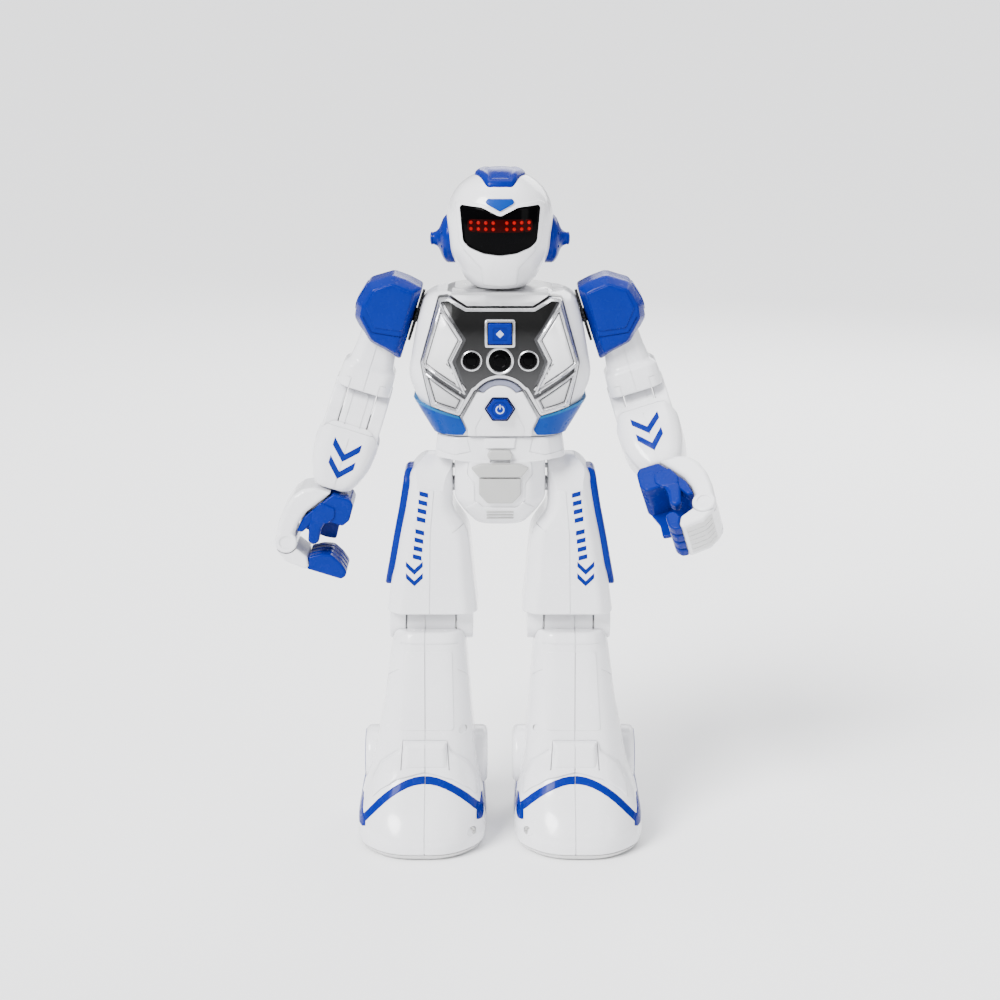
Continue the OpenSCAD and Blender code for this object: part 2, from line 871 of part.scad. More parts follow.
torso_front();
torso_back();
battery_door();
chest_plate();
neck_collar();
chest_lenses();
belly_panel();
waist_wedges();
pelvis_front();
pelvis_back();
pelvis_plates();
battery_cells();
circuit_board();
speaker();
walk_motor();
gearbox();
hip_pins();
shoulder_pins();
body_screws();
chest_button();
power_button();
helmet_front();
helmet_back();
visor();
led_board();
head_crest();
forehead_gem();
ear_caps();
shoulder_pad(-1);  // right_shoulder_pad
upper_arm(-1);  // right_upper_arm
elbow_pin(-1);  // right_elbow_pin
forearm(-1);  // right_forearm
hand_shell(-1);  // right_hand_shell
palm(-1);  // right_palm
finger_cover(-1);  // right_finger_cover
fingers(-1);  // right_fingers
shoulder_pad(1);  // left_shoulder_pad
upper_arm(1);  // left_upper_arm
elbow_pin(1);  // left_elbow_pin
forearm(1);  // left_forearm
hand_shell(1);  // left_hand_shell
palm(1);  // left_palm
finger_cover(1);  // left_finger_cover
fingers(1);  // left_fingers
thigh(-1);  // right_thigh
thigh_panel(-1);  // right_thigh_panel
knee_pin(-1);  // right_knee_pin
link_rod(-1);  // right_link_rod
boot_inner(-1);  // right_boot_inner
boot_outer(-1);  // right_boot_outer
sole(-1);  // right_sole
rollers(-1);  // right_rollers
thigh(1);  // left_thigh
thigh_panel(1);  // left_thigh_panel
knee_pin(1);  // left_knee_pin
link_rod(1);  // left_link_rod
boot_inner(1);  // left_boot_inner
boot_outer(1);  // left_boot_outer
sole(1);  // left_sole
rollers(1);  // left_rollers
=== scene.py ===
"""Looks of the walking humanoid toy robot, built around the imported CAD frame.

Shapes are written in millimetres in the frame's axes (+Z up, the robot faces -Y, its left is +X)
and turned into metres when a piece is finished. The left side is drawn, the right side mirrored.
"""
import json
import math

import bmesh
import bpy
from mathutils import Matrix, Vector
from mathutils.bvhtree import BVHTree

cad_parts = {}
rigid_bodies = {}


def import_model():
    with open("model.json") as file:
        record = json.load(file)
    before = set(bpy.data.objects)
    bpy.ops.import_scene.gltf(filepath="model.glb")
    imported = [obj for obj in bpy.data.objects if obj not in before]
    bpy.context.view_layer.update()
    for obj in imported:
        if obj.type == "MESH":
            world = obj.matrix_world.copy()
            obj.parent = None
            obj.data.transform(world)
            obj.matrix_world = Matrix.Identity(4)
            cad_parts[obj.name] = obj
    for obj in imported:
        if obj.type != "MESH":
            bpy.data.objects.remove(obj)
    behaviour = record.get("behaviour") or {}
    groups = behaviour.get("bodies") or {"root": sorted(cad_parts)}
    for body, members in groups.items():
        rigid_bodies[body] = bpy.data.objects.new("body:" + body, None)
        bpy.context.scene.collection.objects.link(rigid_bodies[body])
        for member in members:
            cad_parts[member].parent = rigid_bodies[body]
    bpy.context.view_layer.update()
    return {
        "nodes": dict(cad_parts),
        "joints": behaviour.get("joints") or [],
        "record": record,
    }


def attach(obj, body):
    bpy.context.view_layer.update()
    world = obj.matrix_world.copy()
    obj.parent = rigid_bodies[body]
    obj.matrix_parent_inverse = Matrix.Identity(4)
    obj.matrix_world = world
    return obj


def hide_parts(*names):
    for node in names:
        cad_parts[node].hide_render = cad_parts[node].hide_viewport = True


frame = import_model()

MM = 0.001
joints = {j["name"]: j for j in frame["joints"]}
nodes = frame["nodes"]
SIDES = ((-1, "right"), (1, "left"))


def pivot(name):
    """Point on a joint's axis, in millimetres"""
    return Vector(joints[name]["pos_m"]) / MM


# ------------------------------------------------------------------ camera and stage

CAMERA_DISTANCE = 0.8
CAMERA_HEIGHT = 0.335
CAMERA_PITCH = 14.04
CAMERA_LENS = 75.87


def make_camera():
    data = bpy.data.cameras.new("camera")
    data.sensor_width = 36
    data.lens = CAMERA_LENS
    camera = bpy.data.objects.new("camera", data)
    camera.location = (0, -CAMERA_DISTANCE, CAMERA_HEIGHT)
    camera.rotation_euler = (math.radians(90 - CAMERA_PITCH), 0, 0)
    bpy.context.scene.collection.objects.link(camera)
    bpy.context.scene.camera = camera


def area_light(name, place, aim, size, power):
    data = bpy.data.lights.new(name, "AREA")
    data.shape = "RECTANGLE"
    data.size, data.size_y = size
    data.energy = power
    light = bpy.data.objects.new(name, data)
    light.location = place
    light.rotation_euler = (Vector(aim) - Vector(place)).to_track_quat("-Z", "Y").to_euler()
    bpy.context.scene.collection.objects.link(light)


def sun_light(name, place, strength, angle):
    data = bpy.data.lights.new(name, "SUN")
    data.energy = strength
    data.angle = math.radians(angle)
    light = bpy.data.objects.new(name, data)
    light.rotation_euler = Vector(place).to_track_quat("Z", "Y").to_euler()
    bpy.context.scene.collection.objects.link(light)


def make_stage():
    mesh = bpy.data.meshes.new("floor")
    reach = 60
    mesh.from_pydata([(-reach, -reach, 0), (reach, -reach, 0), (reach, reach, 0), (-reach, reach, 0)], [],
                     [(0, 1, 2, 3)])
    floor = bpy.data.objects.new("floor", mesh)
    bpy.context.scene.collection.objects.link(floor)
    material = bpy.data.materials.new("floor_pale")
    material.use_nodes = True
    shader = material.node_tree.nodes["Principled BSDF"]
    shader.inputs["Base Color"].default_value = (0.96, 0.96, 0.965, 1)
    shader.inputs["Roughness"].default_value = 0.8
    mesh.materials.append(material)
    middle = (0, 0, 0.14)
    sun_light("key", (-0.62, -0.7, 0.8), 7.0, 28)
    area_light("fill", (1.0, -0.8, 0.6), middle, (0.5, 0.8), 3.5)
    area_light("top", (0, 0.1, 1.25), middle, (0.9, 0.6), 8)
    area_light("rim", (0.35, 1.0, 0.7), middle, (1.0, 0.6), 9)
    # bright overhead, dim at the level of the eyes
    world = bpy.data.worlds.new("studio")
    world.use_nodes = True
    tree = world.node_tree
    background = tree.nodes["Background"]
    place = tree.nodes.new("ShaderNodeTexCoord")
    split = tree.nodes.new("ShaderNodeSeparateXYZ")
    height = tree.nodes.new("ShaderNodeMapRange")
    height.interpolation_type = "SMOOTHSTEP"
    height.inputs["From Min"].default_value = -0.1
    height.inputs["From Max"].default_value = 0.8
    height.inputs["To Min"].default_value = 0.15
    height.inputs["To Max"].default_value = 1.0
    tree.links.new(place.outputs["Generated"], split.inputs["Vector"])
    tree.links.new(split.outputs["Z"], height.inputs["Value"])
    tree.links.new(height.outputs["Result"], background.inputs["Strength"])
    background.inputs["Color"].default_value = (0.96, 0.97, 1, 1)
    bpy.context.scene.world = world


# ------------------------------------------------------------------ materials

def tones(color, spread):
    """The colour made a little darker and a little lighter"""
    return tuple(c * (1 - spread) for c in color), tuple(min(c * (1 + spread), 1) for c in color)


def principled(name, color, roughness, metallic=0.0, coat=0.0, shine=0.5):
    material = bpy.data.materials.new(name)
    material.use_nodes = True
    shader = material.node_tree.nodes["Principled BSDF"]
    shader.inputs["Base Color"].default_value = (*color, 1)
    shader.inputs["Roughness"].default_value = roughness
    shader.inputs["Metallic"].default_value = metallic
    shader.inputs["Specular IOR Level"].default_value = shine
    shader.inputs["Coat Weight"].default_value = coat
    shader.inputs["Coat Roughness"].default_value = 0.06
    return material, shader


def noise(tree, scale, detail=3.0, stretch=(1, 1, 1)):
    """Noise fixed to the object, scale in cycles per metre"""
    place = tree.nodes.new("ShaderNodeTexCoord")
    mapping = tree.nodes.new("ShaderNodeMapping")
    mapping.inputs["Scale"].default_value = stretch
    texture = tree.nodes.new("ShaderNodeTexNoise")
    texture.inputs["Scale"].default_value = scale
    texture.inputs["Detail"].default_value = detail
    tree.links.new(place.outputs["Object"], mapping.inputs["Vector"])
    tree.links.new(mapping.outputs["Vector"], texture.inputs["Vector"])
    return texture.outputs["Fac"]


def remap(tree, source, low, high):
    node = tree.nodes.new("ShaderNodeMapRange")
    node.inputs["From Min"].default_value = 0.3
    node.inputs["From Max"].default_value = 0.7
    node.inputs["To Min"].default_value = low
    node.inputs["To Max"].default_value = high
    tree.links.new(source, node.inputs["Value"])
    return node.outputs["Result"]


def tint(tree, shader, factor, dark, light):
    mix = tree.nodes.new("ShaderNodeMix")
    mix.data_type = "RGBA"
    mix.inputs["A"].default_value = (*dark, 1)
    mix.inputs["B"].default_value = (*light, 1)
    tree.links.new(factor, mix.inputs["Factor"])
    tree.links.new(mix.outputs["Result"], shader.inputs["Base Color"])


def bump(tree, shader, source, strength, distance):
    node = tree.nodes.new("ShaderNodeBump")
    node.inputs["Strength"].default_value = strength
    node.inputs["Distance"].default_value = distance
    tree.links.new(source, node.inputs["Height"])
    tree.links.new(node.outputs["Normal"], shader.inputs["Normal"])


def moulded(name, color, roughness=0.24, coat=0.35, spread=0.05, grain=0.0, shine=0.5):
    """Moulded plastic: faint flow mottling, uneven gloss, very slight waviness or grain"""
    material, shader = principled(name, color, roughness, coat=coat, shine=shine)
    tree = material.node_tree
    flow = noise(tree, 90, 4)
    tint(tree, shader, remap(tree, flow, 0, 1), *tones(color, spread))
    wear = noise(tree, 420, 6)
    tree.links.new(remap(tree, wear, roughness * 0.8, roughness * 1.3), shader.inputs["Roughness"])
    if grain:
        bump(tree, shader, noise(tree, 5200, 2), grain, 0.00012)
    else:
        bump(tree, shader, noise(tree, 160, 2), 0.05, 0.0006)
    return material


def paint(name, color, roughness=0.32, metallic=0.85, spread=0.08):
    """Silver lacquer: fine flakes and a clear coat"""
    material, shader = principled(name, color, roughness, metallic, coat=0.4)
    tree = material.node_tree
    tint(tree, shader, remap(tree, noise(tree, 9000, 2), 0, 1), *tones(color, spread))
    tree.links.new(remap(tree, noise(tree, 260, 4), roughness * 0.85, roughness * 1.25),
                   shader.inputs["Roughness"])
    bump(tree, shader, noise(tree, 7000, 1), 0.12, 0.00005)
    return material


def lacquer_with_painted_light(name, upper, lower, low, high, metallic, shine=0.4, roughness=0.3):
    """Silver lacquer with painted light and shade: it changes from its lower to its upper tone between two
    heights, in metres
    """
    material, shader = principled(name, lower, roughness, metallic, shine=shine)
    tree = material.node_tree
    place = tree.nodes.new("ShaderNodeTexCoord")
    split = tree.nodes.new("ShaderNodeSeparateXYZ")
    # the tone follows height, not the lamps: painted highlight and painted shade
    ramp = tree.nodes.new("ShaderNodeMapRange")
    ramp.interpolation_type = "SMOOTHSTEP"
    ramp.inputs["From Min"].default_value = high
    ramp.inputs["From Max"].default_value = low
    tree.links.new(place.outputs["Object"], split.inputs["Vector"])
    tree.links.new(split.outputs["Z"], ramp.inputs["Value"])
    tint(tree, shader, ramp.outputs["Result"], upper, lower)
    bump(tree, shader, noise(tree, 7000, 1), 0.12, 0.00005)
    return material


def brushed(name, color, roughness=0.35):
    material, shader = principled(name, color, roughness, 1.0)
    tree = material.node_tree
    streaks = noise(tree, 900, 3, (1, 14, 14))
    tree.links.new(remap(tree, streaks, roughness * 0.7, roughness * 1.4), shader.inputs["Roughness"])
    tint(tree, shader, remap(tree, streaks, 0, 1), tuple(c * 0.8 for c in color), color)
    return material


def glow(name, color, strength):
    """Lit plastic of a light, a little uneven in its brightness"""
    material, shader = principled(name, tuple(c * 0.004 for c in color), 0.3, shine=0.05)
    tree = material.node_tree
    shader.inputs["Emission Color"].default_value = (*color, 1)
    tree.links.new(remap(tree, noise(tree, 700, 2), strength * 0.75, strength * 1.15),
                   shader.inputs["Emission Strength"])
    return material


WHITE = moulded("white_shell", (0.80, 0.80, 0.82), 0.22, 0.35, 0.012)
BLUE = moulded("blue_trim", (0.0004, 0.0095, 0.175), 0.24, 0.0, 0.08, shine=0.11)
BRIGHT_BLUE = moulded("bright_blue_trim", (0.0004, 0.036, 0.24), 0.3, 0.0, 0.08, shine=0.09)
# lighter strip on the waist wedges' top edge: painted highlight
HIGHLIGHT_CYAN = moulded("cyan_painted_edge_highlight", (0.002, 0.11, 0.30), 0.3, 0.0, 0.05, shine=0.12)
NAVY = moulded("navy_recess", (0.001, 0.003, 0.04), 0.35, 0.0, 0.15, shine=0.1)
TRIM_GREY = moulded("lavender_trim", (0.17, 0.18, 0.26), 0.25, 0.3, 0.05)
PANEL = moulded("grey_panel", (0.40, 0.40, 0.39), 0.42, 0.05, 0.04, grain=0.25)
PALE = moulded("pale_ribs", (0.62, 0.62, 0.615), 0.45, 0.05, 0.03, grain=0.25)
BLACK = moulded("black_gloss", (0.0008, 0.0008, 0.001), 0.12, 0.0, 0.3, shine=0.035)
SOFT_BLACK = moulded("black_ribs", (0.006, 0.006, 0.007), 0.5, 0.0, 0.2, grain=0.3, shine=0.2)
RUBBER = moulded("rubber_grey", (0.05, 0.05, 0.052), 0.7, 0.0, 0.15, grain=0.5)
SILVER = paint("silver_lacquer", (0.56, 0.56, 0.575), 0.22)
SATIN_SILVER = paint("satin_silver_lacquer", (0.56, 0.56, 0.57), 0.32)
EDGE_SILVER = paint("edge_silver_lacquer", (0.06, 0.06, 0.063), 0.3)
# chest centre: dark silver whose darkness is in part a painted reflection, with painted shade making it
# darker towards the top under the collar
DARK_SHADED_SILVER = lacquer_with_painted_light("dark_silver_painted_shade", (0.014, 0.014, 0.014), (0.055, 0.055, 0.056), 0.184, 0.214,
                           0.8, 0.1)
# chest side panels: painted highlight, near white at the top and grey lower down
SIDE_HIGHLIGHT_SILVER = lacquer_with_painted_light("side_silver_painted_highlight", (0.97, 0.97, 0.98), (0.42, 0.42, 0.425), 0.172, 0.206, 0.35)
STEEL = brushed("steel", (0.55, 0.56, 0.58))
BOARD = moulded("board_green", (0.02, 0.16, 0.06), 0.4, 0.2, 0.2)
CELL = paint("cell_wrap", (0.42, 0.30, 0.08), 0.35)
LIGHT_RED = glow("light_red", (1.0, 0.0, 0.0), 0.85)
GLOW_RED = glow("glow_red", (1.0, 0.0, 0.0), 0.035)
ICON = moulded("icon_pale", (0.36, 0.44, 0.70), 0.35, 0.2, 0.03)

CAD_MATERIALS = {
    "shell_white": WHITE, "trim_blue": BLUE, "bright_blue": BRIGHT_BLUE, "chest_silver": SILVER,
    "panel_grey": PANEL, "dark_grey": SOFT_BLACK, "lens_black": BLACK, "led_red": LIGHT_RED, "steel": STEEL,
    "board_green": BOARD, "cell_wrap": CELL, "rubber_grey": RUBBER,
}
MATERIAL_SLOTS = {m.name: slot for slot, m in CAD_MATERIALS.items()}
MATERIAL_SLOTS.update({
    "cyan_painted_edge_highlight": "bright_blue", "navy_recess": "trim_blue", "lavender_trim": "panel_grey",
    "dark_silver_painted_shade": "chest_silver", "satin_silver_lacquer": "chest_silver",
    "edge_silver_lacquer": "chest_silver", "side_silver_painted_highlight": "chest_silver",
    "glow_red": "led_red", "icon_pale": "shell_white",
    "pale_ribs": "panel_grey",
})


def dress_frame():
    """CAD nodes that stay visible take the finish of their material slot"""
    for part in frame["record"]["subparts"]:
        mesh = nodes[part["node"]].data
        mesh.materials.clear()
        mesh.materials.append(CAD_MATERIALS[part["material_slot"]])


# ------------------------------------------------------------------ mesh tools, in millimetres

def fillet(points, radius, steps=3):
    """Closed outline with each corner rounded; every corner gives steps + 1 points"""
    out = []
    count = len(points)
    for i, corner in enumerate(points):
        p = Vector(corner)
        before = Vector(points[i - 1]) - p
        after = Vector(points[(i + 1) % count]) - p
        r = min(radius, 0.45 * before.length, 0.45 * after.length)
        start = p + before.normalized() * r
        end = p + after.normalized() * r
        for k in range(steps + 1):
            t = k / steps
            out.append(start * (1 - t) ** 2 + p * 2 * t * (1 - t) + end * t * t)
    return out


def inset(points, distance):
    """Anticlockwise outline moved inwards, corners kept sharp"""
    out = []
    count = len(points)
    for i, corner in enumerate(points):
        p = Vector(corner)
        a = (p - Vector(points[i - 1])).normalized()
        b = (Vector(points[(i + 1) % count]) - p).normalized()
        na, nb = Vector((-a.y, a.x)), Vector((-b.y, b.x))
        miter = (na + nb) / max(1 + na.dot(nb), 0.35)
        out.append(p + miter * distance)
    return out


def anticlockwise(points):
    area = sum(points[i - 1][0] * p[1] - p[0] * points[i - 1][1] for i, p in enumerate(points))
    return list(points) if area > 0 else list(reversed(points))


def box(left, right, low, high):
    """Outline of a rectangle"""
    return [(left, low), (right, low), (right, high), (left, high)]


def both_sides(half):
    """Closed outline from its right-hand half"""
    mirrored = [(-x, y) for x, y in reversed(half) if x > 1e-6]
    return anticlockwise(list(half) + mirrored)


def arc(cx, cy, r, start, end, steps=10):
    return [(cx + r * math.cos(math.radians(start + (end - start) * k / steps)),
             cy + r * math.sin(math.radians(start + (end - start) * k / steps))) for k in range(steps + 1)]


def ribbon(points, width):
    """Outline of a line of even or given width"""
    widths = width if isinstance(width, (list, tuple)) else [width] * len(points)
    left, right = [], []
    for i, corner in enumerate(points):
        p = Vector(corner)
        a = Vector(points[max(i - 1, 0)])
        b = Vector(points[min(i + 1, len(points) - 1)])
        along = (b - a).normalized()
        side = Vector((-along.y, along.x)) * widths[i] / 2
        left.append(tuple(p + side))
        right.append(tuple(p - side))
    return anticlockwise(left + right[::-1])


def skin(rings):
    """Closed mesh through rings with equal point counts"""
    bm = bmesh.new()
    loops = [[bm.verts.new(p) for p in ring] for ring in rings]
    count = len(rings[0])
    for low, high in zip(loops, loops[1:]):
        for i in range(count):
            j = (i + 1) % count
            bm.faces.new((low[i], low[j], high[j], high[i]))
    bm.faces.new(loops[0][::-1])
    bm.faces.new(loops[-1])
    bmesh.ops.recalc_face_normals(bm, faces=bm.faces)
    return bm


def split_quads(bm):
    """Four-sided faces made into flat triangles, so that booleans keep their outlines"""
    bmesh.ops.triangulate(bm, faces=[f for f in bm.faces if len(f.verts) == 4])
    return bm


def at_height(rows, z):
    """Row of section values at a height, between the given rows"""
    if z <= rows[0][0]:
        return rows[0][1:]
    for a, b in zip(rows, rows[1:]):
        if z <= b[0]:
            t = (z - a[0]) / (b[0] - a[0])
            return [u + (v - u) * t for u, v in zip(a[1:], b[1:])]
    return rows[-1][1:]


def eased(rows, bend):
    """Rows with each bend between them rounded over a distance"""
    out = [list(rows[0])]
    for a, b, c in zip(rows, rows[1:], rows[2:]):
        reach = min(bend, 0.45 * (b[0] - a[0]), 0.45 * (c[0] - b[0]))
        start = [b[0] - reach, *at_height(rows, b[0] - reach)]
        end = [b[0] + reach, *at_height(rows, b[0] + reach)]
        for k in range(5):
            t = k / 4
            out.append([s * (1 - t) ** 2 + m * 2 * t * (1 - t) + e * t * t for s, m, e in zip(start, b, end)])
    out.append(list(rows[-1]))
    return out


# change of a chamfer's leg when all the sides around it move out by one
CHAMFER_GROWTH = 0.586


def block(rows, corner=3.0, bend=2.5, cap=0.8, grow=0.0, steps=3):
    """Upright solid of chamfered rectangles: [z, half width, half depth, chamfer, centre x, centre y]"""
    rows = eased(rows, bend)
    bottom, top = rows[0][0] - grow, rows[-1][0] + grow
    heights = [row[0] for row in rows if bottom + cap < row[0] < top - cap]
    angles = [math.radians(a) for a in (0, 30, 60, 90)]
    low = [(bottom + cap * (1 - math.sin(a)), cap * (1 - math.cos(a))) for a in angles[::-1]]
    high = [(top - cap * (1 - math.sin(a)), cap * (1 - math.cos(a))) for a in angles]
    rings = []
    for z, shrink in low + [(z, 0) for z in heights] + high:
        hx, hy, chamfer, cx, cy = at_height(rows, z)
        chamfer = max(chamfer + CHAMFER_GROWTH * (grow - shrink), 0.05)
        hx, hy = hx + grow - shrink, hy + grow - shrink
        outline = [(cx + hx - chamfer, cy - hy), (cx + hx, cy - hy + chamfer), (cx + hx, cy + hy - chamfer),
                   (cx + hx - chamfer, cy + hy), (cx - hx + chamfer, cy + hy), (cx - hx, cy + hy - chamfer),
                   (cx - hx, cy - hy + chamfer), (cx - hx + chamfer, cy - hy)]
        rings.append([(p.x, p.y, z) for p in fillet(outline, corner, steps)])
    return split_quads(skin(rings))


AXES = {
    "x": lambda u, v, w: (w, u, v),
    "y": lambda u, v, w: (u, w, v),
    "z": lambda u, v, w: (u, v, w),
}


def slab(outline, axis, start, end, corner=0.6, edge=0.5, steps=3):
    """Outline extruded along an axis with rounded rims.

    Its points are (y, z) along x, (x, z) along y and (x, y) along z.
    """
    outline = anticlockwise(outline)
    place = AXES[axis]
    rings = []
    angles = [math.radians(90 * k / 4) for k in range(5)]
    ends = [(start + edge * (1 - math.cos(a)), edge * (1 - math.sin(a))) for a in angles]
    ends += [(end - edge * (1 - math.cos(a)), edge * (1 - math.sin(a))) for a in reversed(angles)]
    for w, shrink in ends:
        points = fillet(inset(outline, shrink), max(corner - 0.5 * shrink, 0.05), steps)
        rings.append([place(p[0], p[1], w) for p in points])
    return skin(rings)


def lathe(profile, axis, centre, steps=64):
    """Solid of revolution: profile points are (radius, place along the axis), from one end to the other"""
    place = AXES[axis]
    rings = []
    for r, w in profile:
        r = max(r, 0.01)
        rings.append([place(*(r * Vector((math.cos(t), math.sin(t)))), w)
                      for t in (2 * math.pi * k / steps for k in range(steps))])
    bm = skin(rings)
    bmesh.ops.translate(bm, verts=bm.verts, vec=Vector(centre))
    return bm


def disc(r, axis, start, end, centre, edge=0.6, steps=64):
    angles = [math.radians(22.5 * k) for k in range(5)]
    profile = [(r - edge * (1 - math.sin(a)), start + edge * (1 - math.cos(a))) for a in angles]
    profile += [(r - edge * (1 - math.sin(a)), end - edge * (1 - math.cos(a))) for a in reversed(angles)]
    return lathe(profile, axis, centre, steps)


def bore(r, axis, start, end, centre, steps=64):
    """Cylinder with sharp ends, to cut with"""
    return disc(r, axis, start, end, centre, 0.01, steps)


def box_mesh(low, high):
    bm = bmesh.new()
    bmesh.ops.create_cube(bm, size=1)
    size = Vector(high) - Vector(low)
    bmesh.ops.scale(bm, verts=bm.verts, vec=size)
    bmesh.ops.translate(bm, verts=bm.verts, vec=(Vector(low) + Vector(high)) / 2)
    return bm


def to_mesh(bm):
    mesh = bpy.data.meshes.new("work")
    bm.to_mesh(mesh)
    return mesh


def combine(bm, other, operation):
    """Boolean of two closed meshes, as a new bmesh. If the fast solver gives nothing, the exact one runs"""
    a = bpy.data.objects.new("work_a", to_mesh(bm))
    b = bpy.data.objects.new("work_b", to_mesh(other))
    scene = bpy.context.scene.collection.objects
    scene.link(a)
    scene.link(b)
    modifier = a.modifiers.new("boolean", "BOOLEAN")
    modifier.object = b
    modifier.operation = operation
    modifier.solver = "MANIFOLD"
    result = bmesh.new()
    result.from_object(a, bpy.context.evaluated_depsgraph_get())
    if not result.faces:
        modifier.solver = "EXACT"
        bpy.context.view_layer.update()
        result.from_object(a, bpy.context.evaluated_depsgraph_get())
    for o in (a, b):
        mesh = o.data
        bpy.data.objects.remove(o)
        bpy.data.meshes.remove(mesh)
    return result


def cut(bm, *others):
    for other in others:
        bm = combine(bm, other, "DIFFERENCE")
    return bm


def join(bm, *others):
    for other in others:
        bm = combine(bm, other, "UNION")
    return bm


def common(bm, other):
    return combine(bm, other, "INTERSECT")


VIEWS = {
    "front": (lambda u, v, w: Vector((u, -w, v)), Vector((0, 1, 0))),
    "back": (lambda u, v, w: Vector((u, w, v)), Vector((0, -1, 0))),
    "left": (lambda u, v, w: Vector((w, u, v)), Vector((-1, 0, 0))),
    "right": (lambda u, v, w: Vector((-w, u, v)), Vector((1, 0, 0))),
    "top": (lambda u, v, w: Vector((u, v, w)), Vector((0, 0, -1))),
    "bottom": (lambda u, v, w: Vector((u, v, -w)), Vector((0, 0, 1))),
}


class Ground:
    """A base shape that panels, grooves and prints are laid on"""

    FAR = 400
    TRIES = 12
    STEP = 0.03

    def __init__(self, bm):
        self.tree = BVHTree.FromBMesh(bm)

    def depth(self, view, u, v, centre):
        """How far the ground stands out at a point. A point beside it moves towards the centre in steps"""
        place, ray = VIEWS[view]
        for k in range(self.TRIES):
            x, y = u + (centre[0] - u) * k * self.STEP, v + (centre[1] - v) * k * self.STEP
            start = place(x, y, self.FAR)
            hit = self.tree.ray_cast(start, ray)[0]
            if hit is not None:
                return self.FAR - (hit - start).length
        return None


# keeps the grid's cuts off an outline's own points
GRID_SHIFT = 0.013


def laid(ground, view, outline, profile, low=-0.6, corner=0.5, grid=2.0, steps=3):
    """Closed panel that follows a ground.

    profile holds (inset, height) from the rim inwards, and low is the height of its underside.
    """
    outline = anticlockwise(outline)
    bm = bmesh.new()
    levels = [(0, low)] + list(profile)
    loops = []
    for distance, height in levels:
        points = fillet(inset(outline, distance), max(corner - 0.5 * distance, 0.03), steps)
        loops.append([bm.verts.new((p[0], p[1], height)) for p in points])
    count = len(loops[0])
    for a, b in zip(loops, loops[1:]):
        for i in range(count):
            j = (i + 1) % count
            bm.faces.new((a[i], a[j], b[j], b[i]))
    caps = [bm.faces.new(loops[0][::-1]), bm.faces.new(loops[-1])]
    bm.normal_update()
    bmesh.ops.triangulate(bm, faces=caps)
    for axis in (0, 1):
        values = [v.co[axis] for v in bm.verts]
        first = math.ceil(min(values) / grid)
        last = math.floor(max(values) / grid)
        normal = Vector((1, 0, 0)) if axis == 0 else Vector((0, 1, 0))
        for k in range(first, last + 1):
            geometry = bm.verts[:] + bm.edges[:] + bm.faces[:]
            bmesh.ops.bisect_plane(bm, geom=geometry, dist=1e-5, plane_co=normal * (k * grid + GRID_SHIFT),
                                   plane_no=normal)
    centre = (sum(p[0] for p in outline) / len(outline), sum(p[1] for p in outline) / len(outline))
    place = VIEWS[view][0]
    depth = 0
    for vertex in bm.verts:
        u, v, height = vertex.co
        found = ground.depth(view, u, v, centre)
        if found is not None:
            depth = found
        vertex.co = place(u, v, depth + height)
    bmesh.ops.recalc_face_normals(bm, faces=bm.faces)
    return bm


def groove(ground, view, outline, depth=0.4, corner=0.1):
    """Cutter for a line engraved in a ground"""
    return laid(ground, view, outline, [(0, 2.0)], low=-depth, corner=corner)


def engrave(bm, ground, view, depth, *outlines, corner=0.1):
    """The mesh with lines cut into its ground"""
    return cut(bm, *[groove(ground, view, outline, depth, corner) for outline in outlines])


def rim(height, edge):
    """Profile of a raised panel with a rounded rim"""
    return [(edge * (1 - math.cos(math.radians(a))), height - edge * (1 - math.sin(math.radians(a))))
            for a in (0, 30, 60, 90)]


def turned(bm, matrix):
    bmesh.ops.transform(bm, matrix=matrix, verts=bm.verts)
    if matrix.determinant() < 0:
        bmesh.ops.reverse_faces(bm, faces=bm.faces)
    return bm


MIRROR = Matrix.Scale(-1, 4, (1, 0, 0))


def piece(name, bm, body, material, replaces=(), matrix=None, sharp=32):
    """Finishes a shape: metres, shading, material, body and the CAD nodes it stands for"""
    if matrix is not None:
        turned(bm, matrix)
    bmesh.ops.scale(bm, verts=bm.verts, vec=(MM, MM, MM))
    bmesh.ops.remove_doubles(bm, verts=bm.verts, dist=1e-7)
    mesh = bpy.data.meshes.new(name)
    bm.to_mesh(mesh)
    bm.free()
    mesh.shade_smooth()
    mesh.set_sharp_from_angle(angle=math.radians(sharp))
    mesh.materials.append(material)
    obj = bpy.data.objects.new(name, mesh)
    bpy.context.scene.collection.objects.link(obj)
    weighted = obj.modifiers.new("weighted", "WEIGHTED_NORMAL")
    weighted.keep_sharp = True
    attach(obj, body)
    if replaces:
        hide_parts(*replaces)
    return obj


def side_matrix(side):
    return MIRROR if side < 0 else Matrix.Identity(4)


def limb(name, body, matrix):
    """Finisher for the pieces of one limb, with the side's name on pieces, body and CAD nodes"""
    def put(label, bm, material, *stands_for):
        piece(f"{name}_{label}", bm, f"{name}_{body}", material, [f"{name}_{node}" for node in stands_for],
              matrix)
    return put


# ------------------------------------------------------------------ head

HEAD_ROWS = [
    [220.4, 9.8, 12.3, -4.0], [221.6, 11.5, 14.2, -3.9], [223.5, 13.4, 16.0, -3.6], [228, 16.3, 19.0, -2.7],
    [234, 19.2, 21.0, -2.1], [241, 20.0, 21.8, -2.0], [247, 20.0, 21.4, -2.0], [252, 19.0, 20.2, -2.0],
    [256.5, 16.5, 17.7, -2.0], [260, 12.7, 14.0, -2.0], [262.4, 8.0, 9.4, -2.0], [263.5, 3.8, 4.8, -2.0],
    [263.75, 0.6, 0.8, -2.0],
]
VISOR_HALF = [(0, 248.1), (6.8, 251.4), (14.3, 251.9), (15.0, 250.9), (13.8, 238.6), (11.6, 236.4),
              (6.2, 234.3), (0, 233.5)]
VISOR_DEPTH = 0.7
EAR_CENTRE = (0, -1, 237.5)


